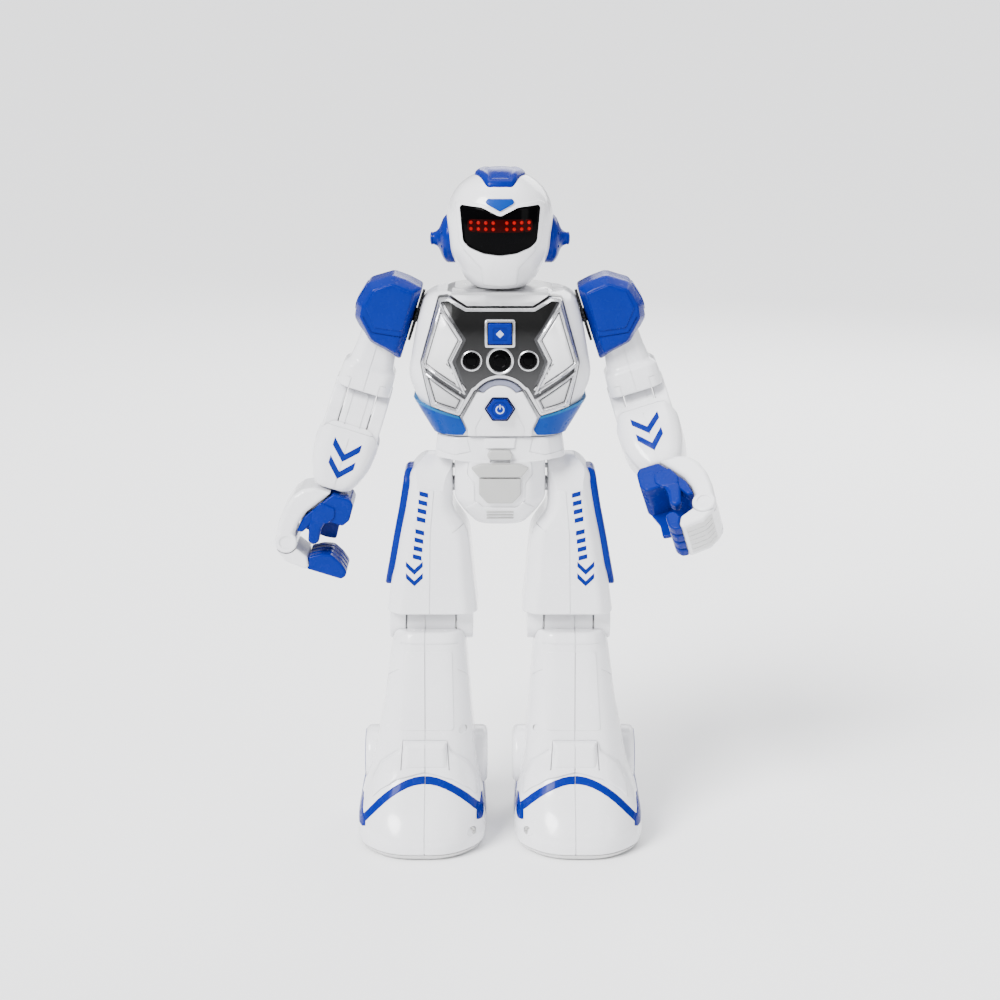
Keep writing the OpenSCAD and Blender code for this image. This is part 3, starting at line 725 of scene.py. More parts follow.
def curve_through(rows, z):
    """Catmull-Rom value of the rows at a height"""
    last = len(rows) - 1
    i = next((k for k in range(last) if z <= rows[k + 1][0]), last - 1)
    a, b, c, d = rows[max(i - 1, 0)], rows[i], rows[i + 1], rows[min(i + 2, last)]
    span = c[0] - b[0]
    t = (z - b[0]) / span
    out = []
    for p, q, r, s in zip(a[1:], b[1:], c[1:], d[1:]):
        m0 = (r - p) / (c[0] - a[0]) * span
        m1 = (s - q) / (d[0] - b[0]) * span
        out.append((2 * t ** 3 - 3 * t ** 2 + 1) * q + (t ** 3 - 2 * t ** 2 + t) * m0
                   + (-2 * t ** 3 + 3 * t ** 2) * r + (t ** 3 - t ** 2) * m1)
    return out


def head_shape():
    """Egg-shaped helmet with flat cheeks, jaw and chin"""
    steps = 112
    low, high = HEAD_ROWS[0][0], HEAD_ROWS[-1][0]
    rings = []
    for k in range(57):
        # closer rings near the crown and the jaw
        t = 0.5 - 0.5 * math.cos(math.pi * k / 56)
        z = low + (high - low) * t
        hx, hy, cy = curve_through(HEAD_ROWS, z)
        ring = []
        for i in range(steps):
            angle = 2 * math.pi * i / steps
            c, s = math.cos(angle), math.sin(angle)
            ring.append((hx * math.copysign(abs(c) ** 0.9, c), cy + hy * math.copysign(abs(s) ** 0.9, s), z))
        rings.append(ring)
    bm = skin(rings)
    planes = [
        (Vector((0, -20.3, 226)), Vector((0, -0.88, -0.47))),
        (Vector((10.6, -18.2, 229)), Vector((0.52, -0.74, -0.42))),
        (Vector((-10.6, -18.2, 229)), Vector((-0.52, -0.74, -0.42))),
        (Vector((17.2, -8.5, 228.5)), Vector((0.80, -0.34, -0.49))),
        (Vector((-17.2, -8.5, 228.5)), Vector((-0.80, -0.34, -0.49))),
    ]
    for point, normal in planes:
        normal = normal.normalized()
        for vertex in bm.verts:
            over = (vertex.co - point).dot(normal)
            if over > 0:
                vertex.co -= normal * over * 0.85
    return bm


def make_head():
    base = head_shape()
    ground = Ground(base)
    opening = both_sides(VISOR_HALF)
    lip_half = [(0, 249.3), (6.5, 252.5), (14.7, 253.6), (16.9, 252.4), (15.2, 237.8), (12.2, 235),
                (6.6, 233), (0, 232.3)]
    lip = laid(ground, "front", both_sides(lip_half), rim(0.5, 0.4), low=-1.2, corner=1.4)
    chin_half = [(0, 234.4), (6.4, 235.2), (12.8, 237.6), (13.9, 235.6), (7.2, 228.7), (6.4, 221.8),
                 (0, 221.4)]
    chin = laid(ground, "front", both_sides(chin_half), rim(1.0, 0.9), low=-1.0, corner=0.9)
    seam = box_mesh((-40, -0.14, 200), (40, 0.14, 280))
    core = base.copy()
    bmesh.ops.scale(core, verts=core.verts, vec=(0.975, 0.975, 0.985), space=Matrix.Translation((0, 2, -240)))
    helmet = join(base.copy(), chin, lip)
    helmet = join(cut(helmet, seam), core)
    cutter = laid(ground, "front", opening, [(0, 4.0)], low=-VISOR_DEPTH - 1.0, corner=1.1)
    helmet = cut(helmet, cutter, lathe([(5.56, 215), (5.56, 223.4)], "z", (0, 0, 0)))
    piece("helmet", helmet, "head", WHITE, ["helmet_front", "helmet_back"])

    bulge = [(0, -VISOR_DEPTH - 0.1), (0.25, -VISOR_DEPTH + 0.05), (0.7, -VISOR_DEPTH + 0.12)]
    glass = laid(ground, "front", inset(opening, 0.12), bulge, low=-VISOR_DEPTH - 1.2, corner=1.0)
    visor_ground = Ground(glass)
    piece("visor_glass", glass, "head", BLACK, ["visor"])
    band = box(-12, 12, 242.2, 246.9)
    piece("eye_glow", laid(visor_ground, "front", band, [(0, 0.02), (0.6, 0.03)], low=-0.1, corner=1.6),
          "head", GLOW_RED)
    for side, name in SIDES:
        for row, z in enumerate((243.4, 245.7)):
            for column in range(4):
                x = side * (2.5 + 2.75 * column)
                dot = arc(x, z, 0.66, 0, 330, 11)
                bm = laid(visor_ground, "front", dot, [(0, 0.05), (0.3, 0.16)], low=-0.1, corner=0.2, steps=1)
                piece(f"{name}_light_{row}_{column}", bm, "head", LIGHT_RED)

    gem = [(0, 254.4), (4.5, 254.4), (5.4, 253.3), (4.8, 252.5), (0, 249.9)]
    piece("gem", laid(ground, "front", both_sides(gem), rim(0.75, 0.4), corner=0.35), "head", BRIGHT_BLUE,
          ["forehead_gem"])

    crest = [(0, -18.1), (4.6, -17.7), (5.8, -15.6), (9.6, -4.6), (9.3, -2.6), (6.9, 5), (3.4, 12.6),
             (0, 13.2)]
    dished = [(0, 0.3), (0.25, 0.95), (0.8, 1.3), (1.7, 1.35), (2.4, 1.05), (3.2, 0.75)]
    shape = laid(ground, "top", both_sides(crest), dished, low=-1.2, corner=1.0, grid=1.5)
    for vertex in shape.verts:
        vertex.co.z = min(vertex.co.z, 264.9)
    piece("crest", shape, "head", BLUE, ["head_crest"])

    ear = [(0, 15.5), (9.2, 15.5), (9.2, 19.6), (8.9, 20.4), (7.6, 21.5), (5.2, 22.5), (3.6, 23.2),
           (2.8, 24.1), (2.4, 25.0), (2.3, 25.4), (2.45, 25.7), (2.4, 26.0), (2.0, 26.3), (1.0, 26.5),
           (0, 26.5)]
    ears = [turned(lathe(ear, "x", EAR_CENTRE), side_matrix(side)) for side in (1, -1)]
    whole = join(ears[0], ears[1])
    whole = cut(whole, core_of(base, 0.6))
    ring_cuts = []
    for side in (-1, 1):
        for k in range(8):
            angle = math.radians(45 * k + 22.5)
            y, z = EAR_CENTRE[1] + 6.4 * math.cos(angle), EAR_CENTRE[2] + 6.4 * math.sin(angle)
            ring_cuts.append(turned(disc(0.7, "x", 21.2, 24, (0, y, z), 0.1, 16), side_matrix(side)))
    whole = cut(whole, *ring_cuts)
    piece("ear_shells", whole, "head", BLUE, ["ear_caps"])


def core_of(bm, depth):
    """The same closed shape moved inwards by a distance"""
    inner = bm.copy()
    inner.normal_update()
    moves = [(v, v.normal.copy()) for v in inner.verts]
    for vertex, normal in moves:
        vertex.co -= normal * depth
    return inner


# ------------------------------------------------------------------ torso

TORSO_ROWS = [[164, 23.6, 17, 6, 0, 0], [176.6, 31, 21, 8, 0, 0], [187, 35, 23.5, 9, 0, 0],
              [208, 31.2, 23, 9, 0, 0], [216, 28.8, 19.5, 8, 0, 0], [218.6, 24.5, 16.5, 7, 0, 0]]
PANEL_T = 3.0
LENS_Z = 195.0
BUTTON_Z = 205.2
POWER_Z = 176.2
POWER = (0, 0, POWER_Z)
ARCH = (0, 177.6)
ARCH_R = 10.3


def button_square(half_width, half_height):
    """Outline round the centre of the chest button"""
    return box(-half_width, half_width, BUTTON_Z - half_height, BUTTON_Z + half_height)


def power_hexagon(grow):
    """Outline of the power button, made larger or smaller"""
    return [((5.2 + grow) * math.cos(math.radians(a)), POWER_Z + (4.6 + grow) * math.sin(math.radians(a)))
            for a in range(0, 360, 60)]


def make_torso():
    shape = block(TORSO_ROWS, corner=4.5, bend=4, cap=0.8)
    ground = Ground(shape)
    core = core_of(shape, 0.45)
    shell = join(cut(shape.copy(), box_mesh((-60, -0.16, 150), (60, 0.16, 230))), core)
    door = box(-15.4, 15.4, 172.2, 207)
    door_ring = cut(laid(ground, "back", door, [(0, 2)], low=-0.5, corner=2),
                    laid(ground, "back", inset(door, 0.45), [(0, 3)], low=-1.5, corner=1.7))
    shell = cut(shell, door_ring)
    for side in (-1, 1):
        for x, z in ((19.5, 211), (17, 168)):
            shell = cut(shell, bore(1.9, "y", 14, 30, (side * x, 0, z), 32))
    for k in range(5):
        z = 176 + 1.8 * k
        line = [(-6 + 0.5 * k, z), (6 - 0.5 * k, z), (6 - 0.5 * k, z + 0.8), (-6 + 0.5 * k, z + 0.8)]
        shell = engrave(shell, ground, "back", 0.5, line, corner=0.3)
    for side in (-1, 1):
        # sound slots in the back, a row each side of the battery door
        for k in range(3):
            near, far = side * (18.5 + 2.2 * k), side * (19.5 + 2.2 * k)
            line = [(near, 182), (far, 182), (far, 196), (near, 196)]
            shell = engrave(shell, ground, "back", 0.7, line, corner=0.4)
    piece("torso_shell", shell, "torso", WHITE, ["torso_front", "torso_back", "battery_door"])

    plate_half = [(0, 214.8), (12.4, 214.8), (18.9, 218.4), (23.3, 217.7), (30.1, 193.4), (26.4, 176.4),
                  (15, 172.8), (9.3, 183.2)]
    plate_outline = both_sides(plate_half + arc(*ARCH, ARCH_R, 36, 90, 8))
    plate = laid(ground, "front", plate_outline, rim(PANEL_T, 0.9), low=-0.8, corner=0.8)
    plate_ground = Ground(plate)
    edge_ring = cut(laid(plate_ground, "front", inset(plate_outline, 0.5), rim(0.55, 0.35), low=-0.5,
                         corner=0.6),
                    laid(plate_ground, "front", inset(plate_outline, 1.7), [(0, 3)], low=-2, corner=0.4))
    piece("breastplate", plate, "torso", EDGE_SILVER, ["chest_plate"])
    piece("breastplate_rim", edge_ring, "torso", SILVER)
    inlay_half = ([(0, 214.0), (12.0, 214.0), (18.4, 217.4), (21.4, 216.4), (17.3, 209.9), (12.6, 202.8),
                   (16.6, 194.6), (11.6, 181.6), (9.4, 184.6)]
                  + arc(*ARCH, ARCH_R + 1, 40, 90, 6))
    inlay = laid(plate_ground, "front", both_sides(inlay_half), [(0, 0.1), (0.15, 0.18)], low=-0.4,
                 corner=0.5)
    inlay = cut(inlay, bore(4.7, "y", -32, -20, (0, 0, LENS_Z), 48))
    # the centre's dark tone is in part painted reflection, and painted shade darkens it towards the collar
    piece("breastplate_centre", inlay, "torso", DARK_SHADED_SILVER)
    upper = [(22.6, 216.4), (29.3, 193.9), (28.9, 192.5), (13.2, 181.8), (12.6, 182.2), (17.6, 194.8),
             (13.6, 202.8), (18.2, 209.9)]
    lower = [(28.6, 191.0), (25.6, 177.6), (15.7, 174.4), (12.9, 180.2)]
    ridge = [(0.0, 0.7), (0.3, 1.25), (0.65, 1.4), (1.0, 1.25), (1.3, 0.8), (1.5, 0.5)]
    for side, name in SIDES:
        matrix = side_matrix(side)
        for part, outline in (("upper", upper), ("lower", lower)):
            outline = anticlockwise(outline)
            bm = cut(laid(plate_ground, "front", outline, ridge, low=-0.5, corner=0.6, grid=1.6),
                     laid(plate_ground, "front", inset(outline, 1.5), [(0, 3)], low=-1.5, corner=0.4,
                          grid=1.6))
            piece(f"{name}_chest_{part}_ridge", bm, "torso", SILVER, matrix=matrix)
            # side panel with a painted highlight, lighter towards its top
            bm = laid(plate_ground, "front", inset(outline, 1.85), [(0, 0.35), (0.35, 0.6)], low=-0.5,
                      corner=0.4, grid=1.6)
            piece(f"{name}_chest_{part}_panel", bm, "torso", SIDE_HIGHLIGHT_SILVER, matrix=matrix)

    # collar round the neck
    step = block([[215.5, 20.5, 20.6, 7, 0, -0.2], [218.7, 20.2, 17.2, 6.6, 0, 0],
                  [219.9, 17.2, 14, 5.6, 0, 0]],
                 corner=3, bend=1, cap=0.3)
    apron_half = [(0, 215.1), (12.2, 215.1), (18.2, 218.6), (18.2, 219.6), (0, 219.6)]
    apron = common(block(TORSO_ROWS, corner=4.5, bend=4, cap=0.8, grow=PANEL_T + 0.7),
                   slab(both_sides(apron_half), "y", -40, -8, 0.4, 0.5))
    neck = lathe([(0, 214), (5.5, 214), (5.5, 223.8), (7.4, 223.8), (7.4, 226), (0, 226)], "z", (0, 0, 0))
    collar = join(step, apron, neck)
    piece("collar", collar, "torso", SATIN_SILVER, ["neck_collar"])

    # three lenses in bezels
    lens_parts, bezel_parts = [], []
    for x, r in ((-10.6, 3.35), (0, 4.3), (10.6, 3.35)):
        y = -plate_ground.depth("front", x, LENS_Z, (0, LENS_Z))
        w = 1.0 if x == 0 else 0.65
        bezel = lathe([(r - 0.2, 2), (r + w, 2), (r + w, -0.5), (r + 0.8 * w, -0.95), (r + 0.35 * w, -1.1),
                       (r, -0.9), (r - 0.2, -0.3)], "y", (x, y, LENS_Z))
        bezel_parts.append(bezel)
        glass = lathe([(0.01, 2.5), (r - 0.15, 2.5), (r - 0.1, -0.3), (r - 0.5, -0.55), (r * 0.6, -0.7),
                       (r * 0.56, -0.6), (r * 0.52, -0.74), (r * 0.3, -0.86), (0.01, -0.9)],
                      "y", (x, y, LENS_Z))
        lens_parts.append(glass)
    piece("lens_bezels", join(*bezel_parts), "torso", SILVER)
    piece("lenses", join(*lens_parts), "torso", BLACK, ["chest_lenses"])

    # square button in its frame
    bezel = laid(plate_ground, "front", button_square(5.7, 5.2), rim(1.5, 0.45), low=-0.5, corner=1.0)
    bezel = cut(bezel, slab(button_square(4.75, 4.25), "y", -40, -20, 0.5, 0.01))
    piece("button_frame", bezel, "torso", SILVER)
    button = slab(button_square(4.4, 3.9), "y", -28.1, -24.5, 0.7, 0.6)
    button = cut(button, slab(button_square(2.6, 2.4), "y", -29, -27.75, 0.4, 0.05))
    stem = disc(2, "y", -24.8, -10.2, (0, 0, BUTTON_Z), 0.2, 32)
    piece("square_button", join(button, stem), "chest_button", BLUE, ["chest_button"])
    diamond = [(0, BUTTON_Z - 1.5), (1.5, BUTTON_Z), (0, BUTTON_Z + 1.5), (-1.5, BUTTON_Z)]
    piece("square_button_mark", slab(diamond, "y", -28.05, -27.6, 0.2, 0.1), "chest_button", ICON)

    # belly panel, its arched trim and the power button
    belly_half = arc(*ARCH, ARCH_R - 2.6, 90, 38, 8) + [(8.6, 183.0), (14.2, 172.3), (12.2, 167.6),
                                                        (12.2, 164.6), (0, 164.6)]
    belly = laid(ground, "front", both_sides(belly_half), rim(PANEL_T - 0.3, 0.7), low=-0.8, corner=0.8)
    belly_ground = Ground(belly)
    belly = cut(belly, laid(belly_ground, "front", power_hexagon(0.75), [(0, 3)], low=-1.2, corner=0.5))
    for side in (-1, 1):
        line = ribbon([(side * 6.9, 173.2), (side * 9.2, 168.4), (side * 9.0, 164.9)], 0.4)
        belly = engrave(belly, belly_ground, "front", 0.3, line)
    piece("belly", belly, "torso", WHITE, ["belly_panel"])
    trim = arc(*ARCH, ARCH_R - 0.15, 36, 144, 14) + arc(*ARCH, ARCH_R - 2.5, 142, 38, 14)
    piece("belly_trim", laid(ground, "front", trim, rim(PANEL_T - 0.8, 0.5), low=-0.8, corner=0.3), "torso",
          TRIM_GREY)
    surround = cut(slab(power_hexagon(0.65), "y", -24.9, -23.4, 0.5, 0.3),
                   slab(power_hexagon(0.1), "y", -27, -22, 0.4, 0.01))
    piece("power_surround", surround, "torso", NAVY)
    power = slab(power_hexagon(-0.15), "y", -25.7, -23.3, 0.5, 0.55)
    power = cut(power, disc(3.1, "y", -26.5, -25.4, POWER, 0.05, 48))
    power = join(power, disc(2.7, "y", -25.65, -24.6, POWER, 0.2, 48),
                 disc(2, "y", -23.6, -10.2, POWER, 0.2, 32))
    piece("hex_button", power, "power_button", BLUE, ["power_button"])
    ring = cut(disc(1.65, "y", -25.78, -25.4, POWER, 0.08, 48),
               bore(1.2, "y", -27, -24, POWER, 48),
               box_mesh((-0.55, -27, POWER_Z + 0.3), (0.55, -24, POWER_Z + 3)))
    bar = slab(box(-0.22, 0.22, POWER_Z + 0.2, POWER_Z + 1.95), "y", -25.78, -25.4, 0.1, 0.05)
    piece("hex_button_mark", join(ring, bar), "power_button", ICON)

    # waist wedges, with a lighter cyan strip along their top edge as a painted highlight
    wedge = [(36, 178.9), (26.5, 176.0), (15.2, 172.5), (12.75, 167.0), (14.0, 165.0), (36, 164.6)]
    edge = [(36, 179.0), (26.5, 176.1), (15.3, 172.6), (15.0, 171.6), (26.6, 174.9), (36, 177.7)]
    inner = block(TORSO_ROWS, corner=4.5, bend=4, cap=0.1, grow=-0.8)
    for side, name in SIDES:
        matrix = side_matrix(side)
        for label, outline, grow, material in (("wedge", wedge, 1.35, BRIGHT_BLUE),
                                               ("wedge_edge", edge, 1.5, HIGHLIGHT_CYAN)):
            outer = block(TORSO_ROWS, corner=4.5, bend=4, cap=0.1, grow=grow)
            bm = cut(common(outer, slab(outline, "y", -40, 9, 0.4, 0.6)), inner)
            stands_for = ["waist_wedges"] if label == "wedge" and side > 0 else ()
            piece(f"{name}_waist_{label}", bm, "torso", material, stands_for, matrix)


def make_shoulder_discs():
    for side, name in SIDES:
        teeth = []
        count = 44
        for k in range(count):
            for part, r in ((0, 9.5), (0.28, 10.2), (0.5, 10.2), (0.78, 9.5)):
                angle = 2 * math.pi * (k + part) / count
                teeth.append((r * math.cos(angle), r * math.sin(angle)))
        bm = slab(teeth, "x", -0.25, 0.75, 0.05, 0.05, 1)
        piece(f"{name}_shoulder_ring", bm, "torso", SOFT_BLACK, (), arm_matrix(side))


# ------------------------------------------------------------------ pelvis

PELVIS_ROWS = [[128.5, 9.5, 11, 4, 0, -1.5], [134, 14.2, 15, 5, 0, -1.5], [139, 17.4, 17.3, 6, 0, -1.5],
               [154.6, 17.4, 18.2, 6, 0, -1.5], [155.4, 25, 18, 6, 0, -1], [163.9, 24, 17.6, 7, 0, -0.5]]


def make_pelvis():
    shape = block(PELVIS_ROWS, corner=2.6, bend=1.6, cap=0.7)
    ground = Ground(shape)
    shell = join(cut(shape.copy(), box_mesh((-60, -0.16, 100), (60, 0.16, 180))), core_of(shape, 0.4))
    for side in (-1, 1):
        lines = [ribbon([(side * 12.4, 163.5), (side * 11.2, 158.6), (side * 16.6, 157.4),
                         (side * 24.5, 158.2)], 0.4),
                 ribbon([(side * 11.8, 155.0), (side * 12.4, 149.8), (side * 9.6, 146.2), (side * 9.6, 139.4),
                         (side * 6.6, 136.6)], 0.4)]
        shell = engrave(shell, ground, "front", 0.35, *lines)
    shell = engrave(shell, ground, "front", 1.2, box(-3.9, 3.9, 154.4, 155.7), corner=0.4)
    piece("pelvis_shell", shell, "torso", WHITE, ["pelvis_front", "pelvis_back"])
    white_tab = [(-5.4, 159.9), (5.4, 159.9), (6.0, 163.8), (-6.0, 163.8)]
    piece("waist_tab", laid(ground, "front", white_tab, rim(1.0, 0.4), corner=0.5), "torso", WHITE)
    octagon = [(0, 154.2), (7.5, 154.2), (11, 152.6), (8.1, 149.0), (0, 149.0)]
    hexagon = [(0, 159.4), (3.7, 159.4), (4.9, 157.5), (4.1, 155.9), (0, 155.9)]
    shield = [(0, 148.4), (8, 148.4), (8, 142.2), (4.7, 138.5), (0, 138.5)]
    plates = [laid(ground, "front", both_sides(outline), rim(height, 0.5))
              for outline, height in ((octagon, 2.0), (hexagon, 2.6), (shield, 1.6))]
    piece("pelvis_plate_stack", join(*plates), "torso", PANEL, ["pelvis_plates"])
    lower = [(0, 136.6), (6.4, 136.6), (8.8, 139), (13.6, 135.6), (11.2, 130.6), (0, 129.4)]
    piece("pelvis_apron", laid(ground, "front", both_sides(lower), rim(0.7, 0.4), corner=0.6), "torso", WHITE)
    ribs = []
    for z in (131.4, 132.8, 134.2):
        ribs.append(laid(ground, "front", box(-5.2, 5.2, z, z + 0.7), rim(1.15, 0.25), low=-0.3, corner=0.2))
    piece("pelvis_ribs", join(*ribs), "torso", PANEL)


# ------------------------------------------------------------------ arms

SHOULDER = pivot("left_shoulder_swing")
SPLAY = math.asin(-joints["left_shoulder_swing"]["axis"][2])
ARM_X = 11.4
ELBOW = Vector((ARM_X, 0, -44))
ELBOW_AXIS = (0, 0, ELBOW.z)
BEND = {-1: 0.0, 1: math.radians(-joints["left_elbow_bend"]["range_deg"][0])}
EAR_R = 10.4
KNUCKLE = (22.8, 0, -98.9)
KNUCKLE_R = 4.4
UPPER_ARM_ROWS = [[-33, 10.2, 10.4, 3, 11.4, 0], [-29, 10.5, 10.8, 3.2, 11.4, 0],
                  [-24.2, 10.2, 10.6, 3.2, 11.4, 0], [-22.4, 8.5, 8.9, 3, 11.2, 0],
                  [-17, 7.8, 8.4, 3, 11.2, 0], [-3, 7.2, 7.2, 2.5, 11, 0]]
FOREARM_ROWS = [[-74, 6.9, 7.2, 2.5, 12, 0], [-70.4, 9.0, 8.5, 3, 11.8, 0], [-64, 11.3, 9.9, 3.4, 11.5, 0],
                [-57, 12.2, 10.5, 3.6, 11.4, 0], [-48, 12.2, 10.5, 3.6, 11.4, 0],
                [-42.6, 11.3, 10.3, 3.2, 11.4, 0]]
PAD = [(1.1, 11.8), (7, 12.9), (13.2, 13.2), (21.1, 7.9), (23.4, -0.6), (22.6, -6.7), (14.8, -14.4),
       (1.2, -17.2)]


def arm_matrix(side):
    matrix = Matrix.Translation(SHOULDER) @ Matrix.Rotation(-SPLAY, 4, "Y")
    return MIRROR @ matrix if side < 0 else matrix


def forearm_matrix(side):
    bend = Matrix.Translation(ELBOW) @ Matrix.Rotation(-BEND[side], 4, "X") @ Matrix.Translation(-ELBOW)
    return arm_matrix(side) @ bend


def pad_shape():
    outline = anticlockwise(PAD)
    half = [(4.6, 13.5), (3.4, 13.42), (2.9, 13.3), (2.5, 13.05), (2.2, 12.7), (0.5, 8.4), (0.2, 7.6),
            (0, 6.6)]
    rings = [(d, -y) for d, y in half] + [(d, y) for d, y in reversed(half)]
    shape = skin([[(p[0], y, p[1]) for p in fillet(inset(outline, d), max(1.3 - 0.12 * d, 0.4), 4)] for d,
                  y in rings])
    return split_quads(shape)


def make_shoulder_pad(side, name):
    put = limb(name, "upper_arm", arm_matrix(side))
    shape = pad_shape()
    ground = Ground(shape)
    pad = cut(shape.copy(), block([[-26, 9.2, 9.6, 3, 11.2, 0], [-4, 9.2, 9.6, 3, 11.2, 0]], 1.5, 1, 0.5))
    raised = [(3.9, 9.4), (13.0, 10.2), (18.2, 6.4), (19.6, -1.0), (14.2, -7.4), (3.7, -5.6)]
    for view in ("front", "back"):
        pad = join(pad, laid(ground, view, raised, rim(0.45, 0.4), low=-0.5, corner=1.0))
        lip = ribbon([(3.4, -7.8), (14.6, -9.4), (19.4, -4.6)], 0.45)
        pad = engrave(pad, ground, view, 0.4, lip)
    side_window = [(-6.6, 4.6), (-4.2, 6.8), (4.2, 6.8), (6.6, 4.6), (6.0, -2.2), (4.4, -4.2), (-4.4, -4.2),
                   (-6.0, -2.2)]
    pad = join(pad, laid(ground, "left", side_window, rim(0.4, 0.35), low=-0.5, corner=0.8))
    put("pad", pad, BLUE, "shoulder_pad")


def make_upper_arm(side, name):
    put = limb(name, "upper_arm", arm_matrix(side))
    shape = block(UPPER_ARM_ROWS, corner=1.6, bend=1.2, cap=0.7)
    ground = Ground(shape)
    arm = join(shape.copy(), disc(7.6, "x", 1.35, 17, (0, 0, 0), 0.5))
    for start in (0.4, 17.3):
        ear = disc(EAR_R, "x", start, start + 5.1, ELBOW_AXIS, 0.8)
        web = slab([(-2.4, -44), (9.4, -44), (10.3, -40), (10.3, -31.5), (-2.4, -31.5)], "x", start,
                   start + 5.1, 0.8, 0.6)
        arm = join(arm, ear, web)
    arm = cut(arm, bore(10.95, "x", ARM_X - 5.9, ARM_X + 5.9, ELBOW_AXIS, 96))
    for start, end in ((-1.0, 1.5), (21.3, 24)):
        turns = (2 * math.pi * k / 24 for k in range(24))
        oval = [(3.6 * math.cos(t), ELBOW.z + 2.9 * math.sin(t)) for t in turns]
        arm = cut(arm, slab(oval, "x", start, end, 0.1, 0.05, 1))
    lines = [ribbon([(11.2, -32.4), (11.2, -10)], 0.38),
             ribbon([(5.6, -32.6), (5.6, -28.6), (3.4, -28.6)], 0.34),
             ribbon([(17.0, -32.6), (17.0, -28.6), (19.2, -28.6)], 0.34)]
    for view in ("front", "back"):
        arm = engrave(arm, ground, view, 0.35, *lines)
    put("arm_shell", arm, WHITE, "upper_arm")
    screws = [disc(1.3, "x", start - 0.6, end + 0.6, ELBOW_AXIS, 0.3, 32)
              for start, end in ((1.7, 2.0), (20.8, 21.1))]
    put("elbow_screws", join(*screws), STEEL)


def chevron(x, z, half, rise, thick):
    """V that points down"""
    return [(x - half, z + rise), (x, z), (x + half, z + rise), (x + half, z + rise + thick), (x, z + thick),
            (x - half, z + rise + thick)]


def make_forearm(side, name):
    put = limb(name, "forearm", forearm_matrix(side))
    shape = block(FOREARM_ROWS, corner=2.2, bend=2.6, cap=0.8)
    ground = Ground(shape)
    arm = cut(shape.copy(), bore(10.75, "x", -5, 30, ELBOW_AXIS, 96))
    tongue = slab(box(-8, 8, -59, -46), "x", ARM_X - 5.5, ARM_X + 5.5, 0.5, 0.3)
    arm = join(arm, disc(10.55, "x", ARM_X - 5.5, ARM_X + 5.5, ELBOW_AXIS, 0.5, 96), tongue)
    arm = cut(arm, bore(1.56, "x", -5, 30, ELBOW_AXIS, 32))
    # fine ribs round the knuckle
    for x in (-3.0, 3.0):
        band = cut(bore(12, "x", ARM_X + x - 0.16, ARM_X + x + 0.16, ELBOW_AXIS, 96),
                   bore(10.2, "x", ARM_X + x - 1, ARM_X + x + 1, ELBOW_AXIS, 96),
                   box_mesh((-10, -20, -80), (40, 20, -47)))
        arm = cut(arm, band)
    for view in ("front", "back"):
        arm = engrave(arm, ground, view, 0.3, ribbon([(11.1, -52), (11.1, -73.6)], 0.38),
                      ribbon([(-0.2, -48.6), (23.2, -48.6)], 0.3))
    arm = cut(arm, bore(3.46, "z", -80, -65, (ARM_X, 0, 0), 48))
    put("forearm_shell", arm, WHITE, "forearm")
    for k, (z, half) in enumerate(((-61.6, 5.4), (-69.0, 5.0))):
        mark = laid(ground, "front", chevron(11.0, z, half, 5.6, 3.2), [(0, 0.1), (0.2, 0.16)], low=-0.3,
                    corner=0.15)
        put(f"forearm_chevron_{k}", mark, BLUE)


HAND_BACK = [(11.6, -75), (18.8, -75), (22.6, -76.8), (25.4, -80.4), (27.2, -86.0), (27.7, -92.0),
             (27.3, -97.4), (22.8, -98.9), (19.8, -97), (20.6, -94.5), (20.2, -90.0), (18.6, -85.2),
             (13.8, -78.3)]
PALM = [(3.6, -75.4), (10.8, -75.4), (13.4, -78.8), (19.0, -87.3), (20.1, -93.6), (17.8, -93.4),
        (15.6, -89.6), (11, -86.2), (3.6, -86.4), (1.7, -83.5), (1.9, -77.4)]
THUMB = [(9.6, -83.6), (15.6, -84), (16.4, -88.6), (14.7, -96.2), (12.6, -97.0), (10.5, -95.2), (11.2, -90)]
COVER = [(26.6, -101.2), (25.2, -103.2), (20.6, -106.4), (12.4, -107.1), (11.8, -105.4), (13.2, -102.2),
         (18.6, -100), (22.8, -98.9)]
OPEN_FINGER = [(12.9, -102.1), (8.6, -99.6), (4.4, -98.6), (0.2, -100.6), (-3.2, -103.4), (-3.3, -105.4),
               (-2, -107), (12.2, -107), (11.6, -105.4)]
CLOSED_FINGER = [(12.9, -102.1), (11.8, -99.2), (9.4, -98.2), (7.6, -99.8), (7.7, -104.4), (9.4, -106.7),
                 (12.2, -107), (11.6, -105.4)]


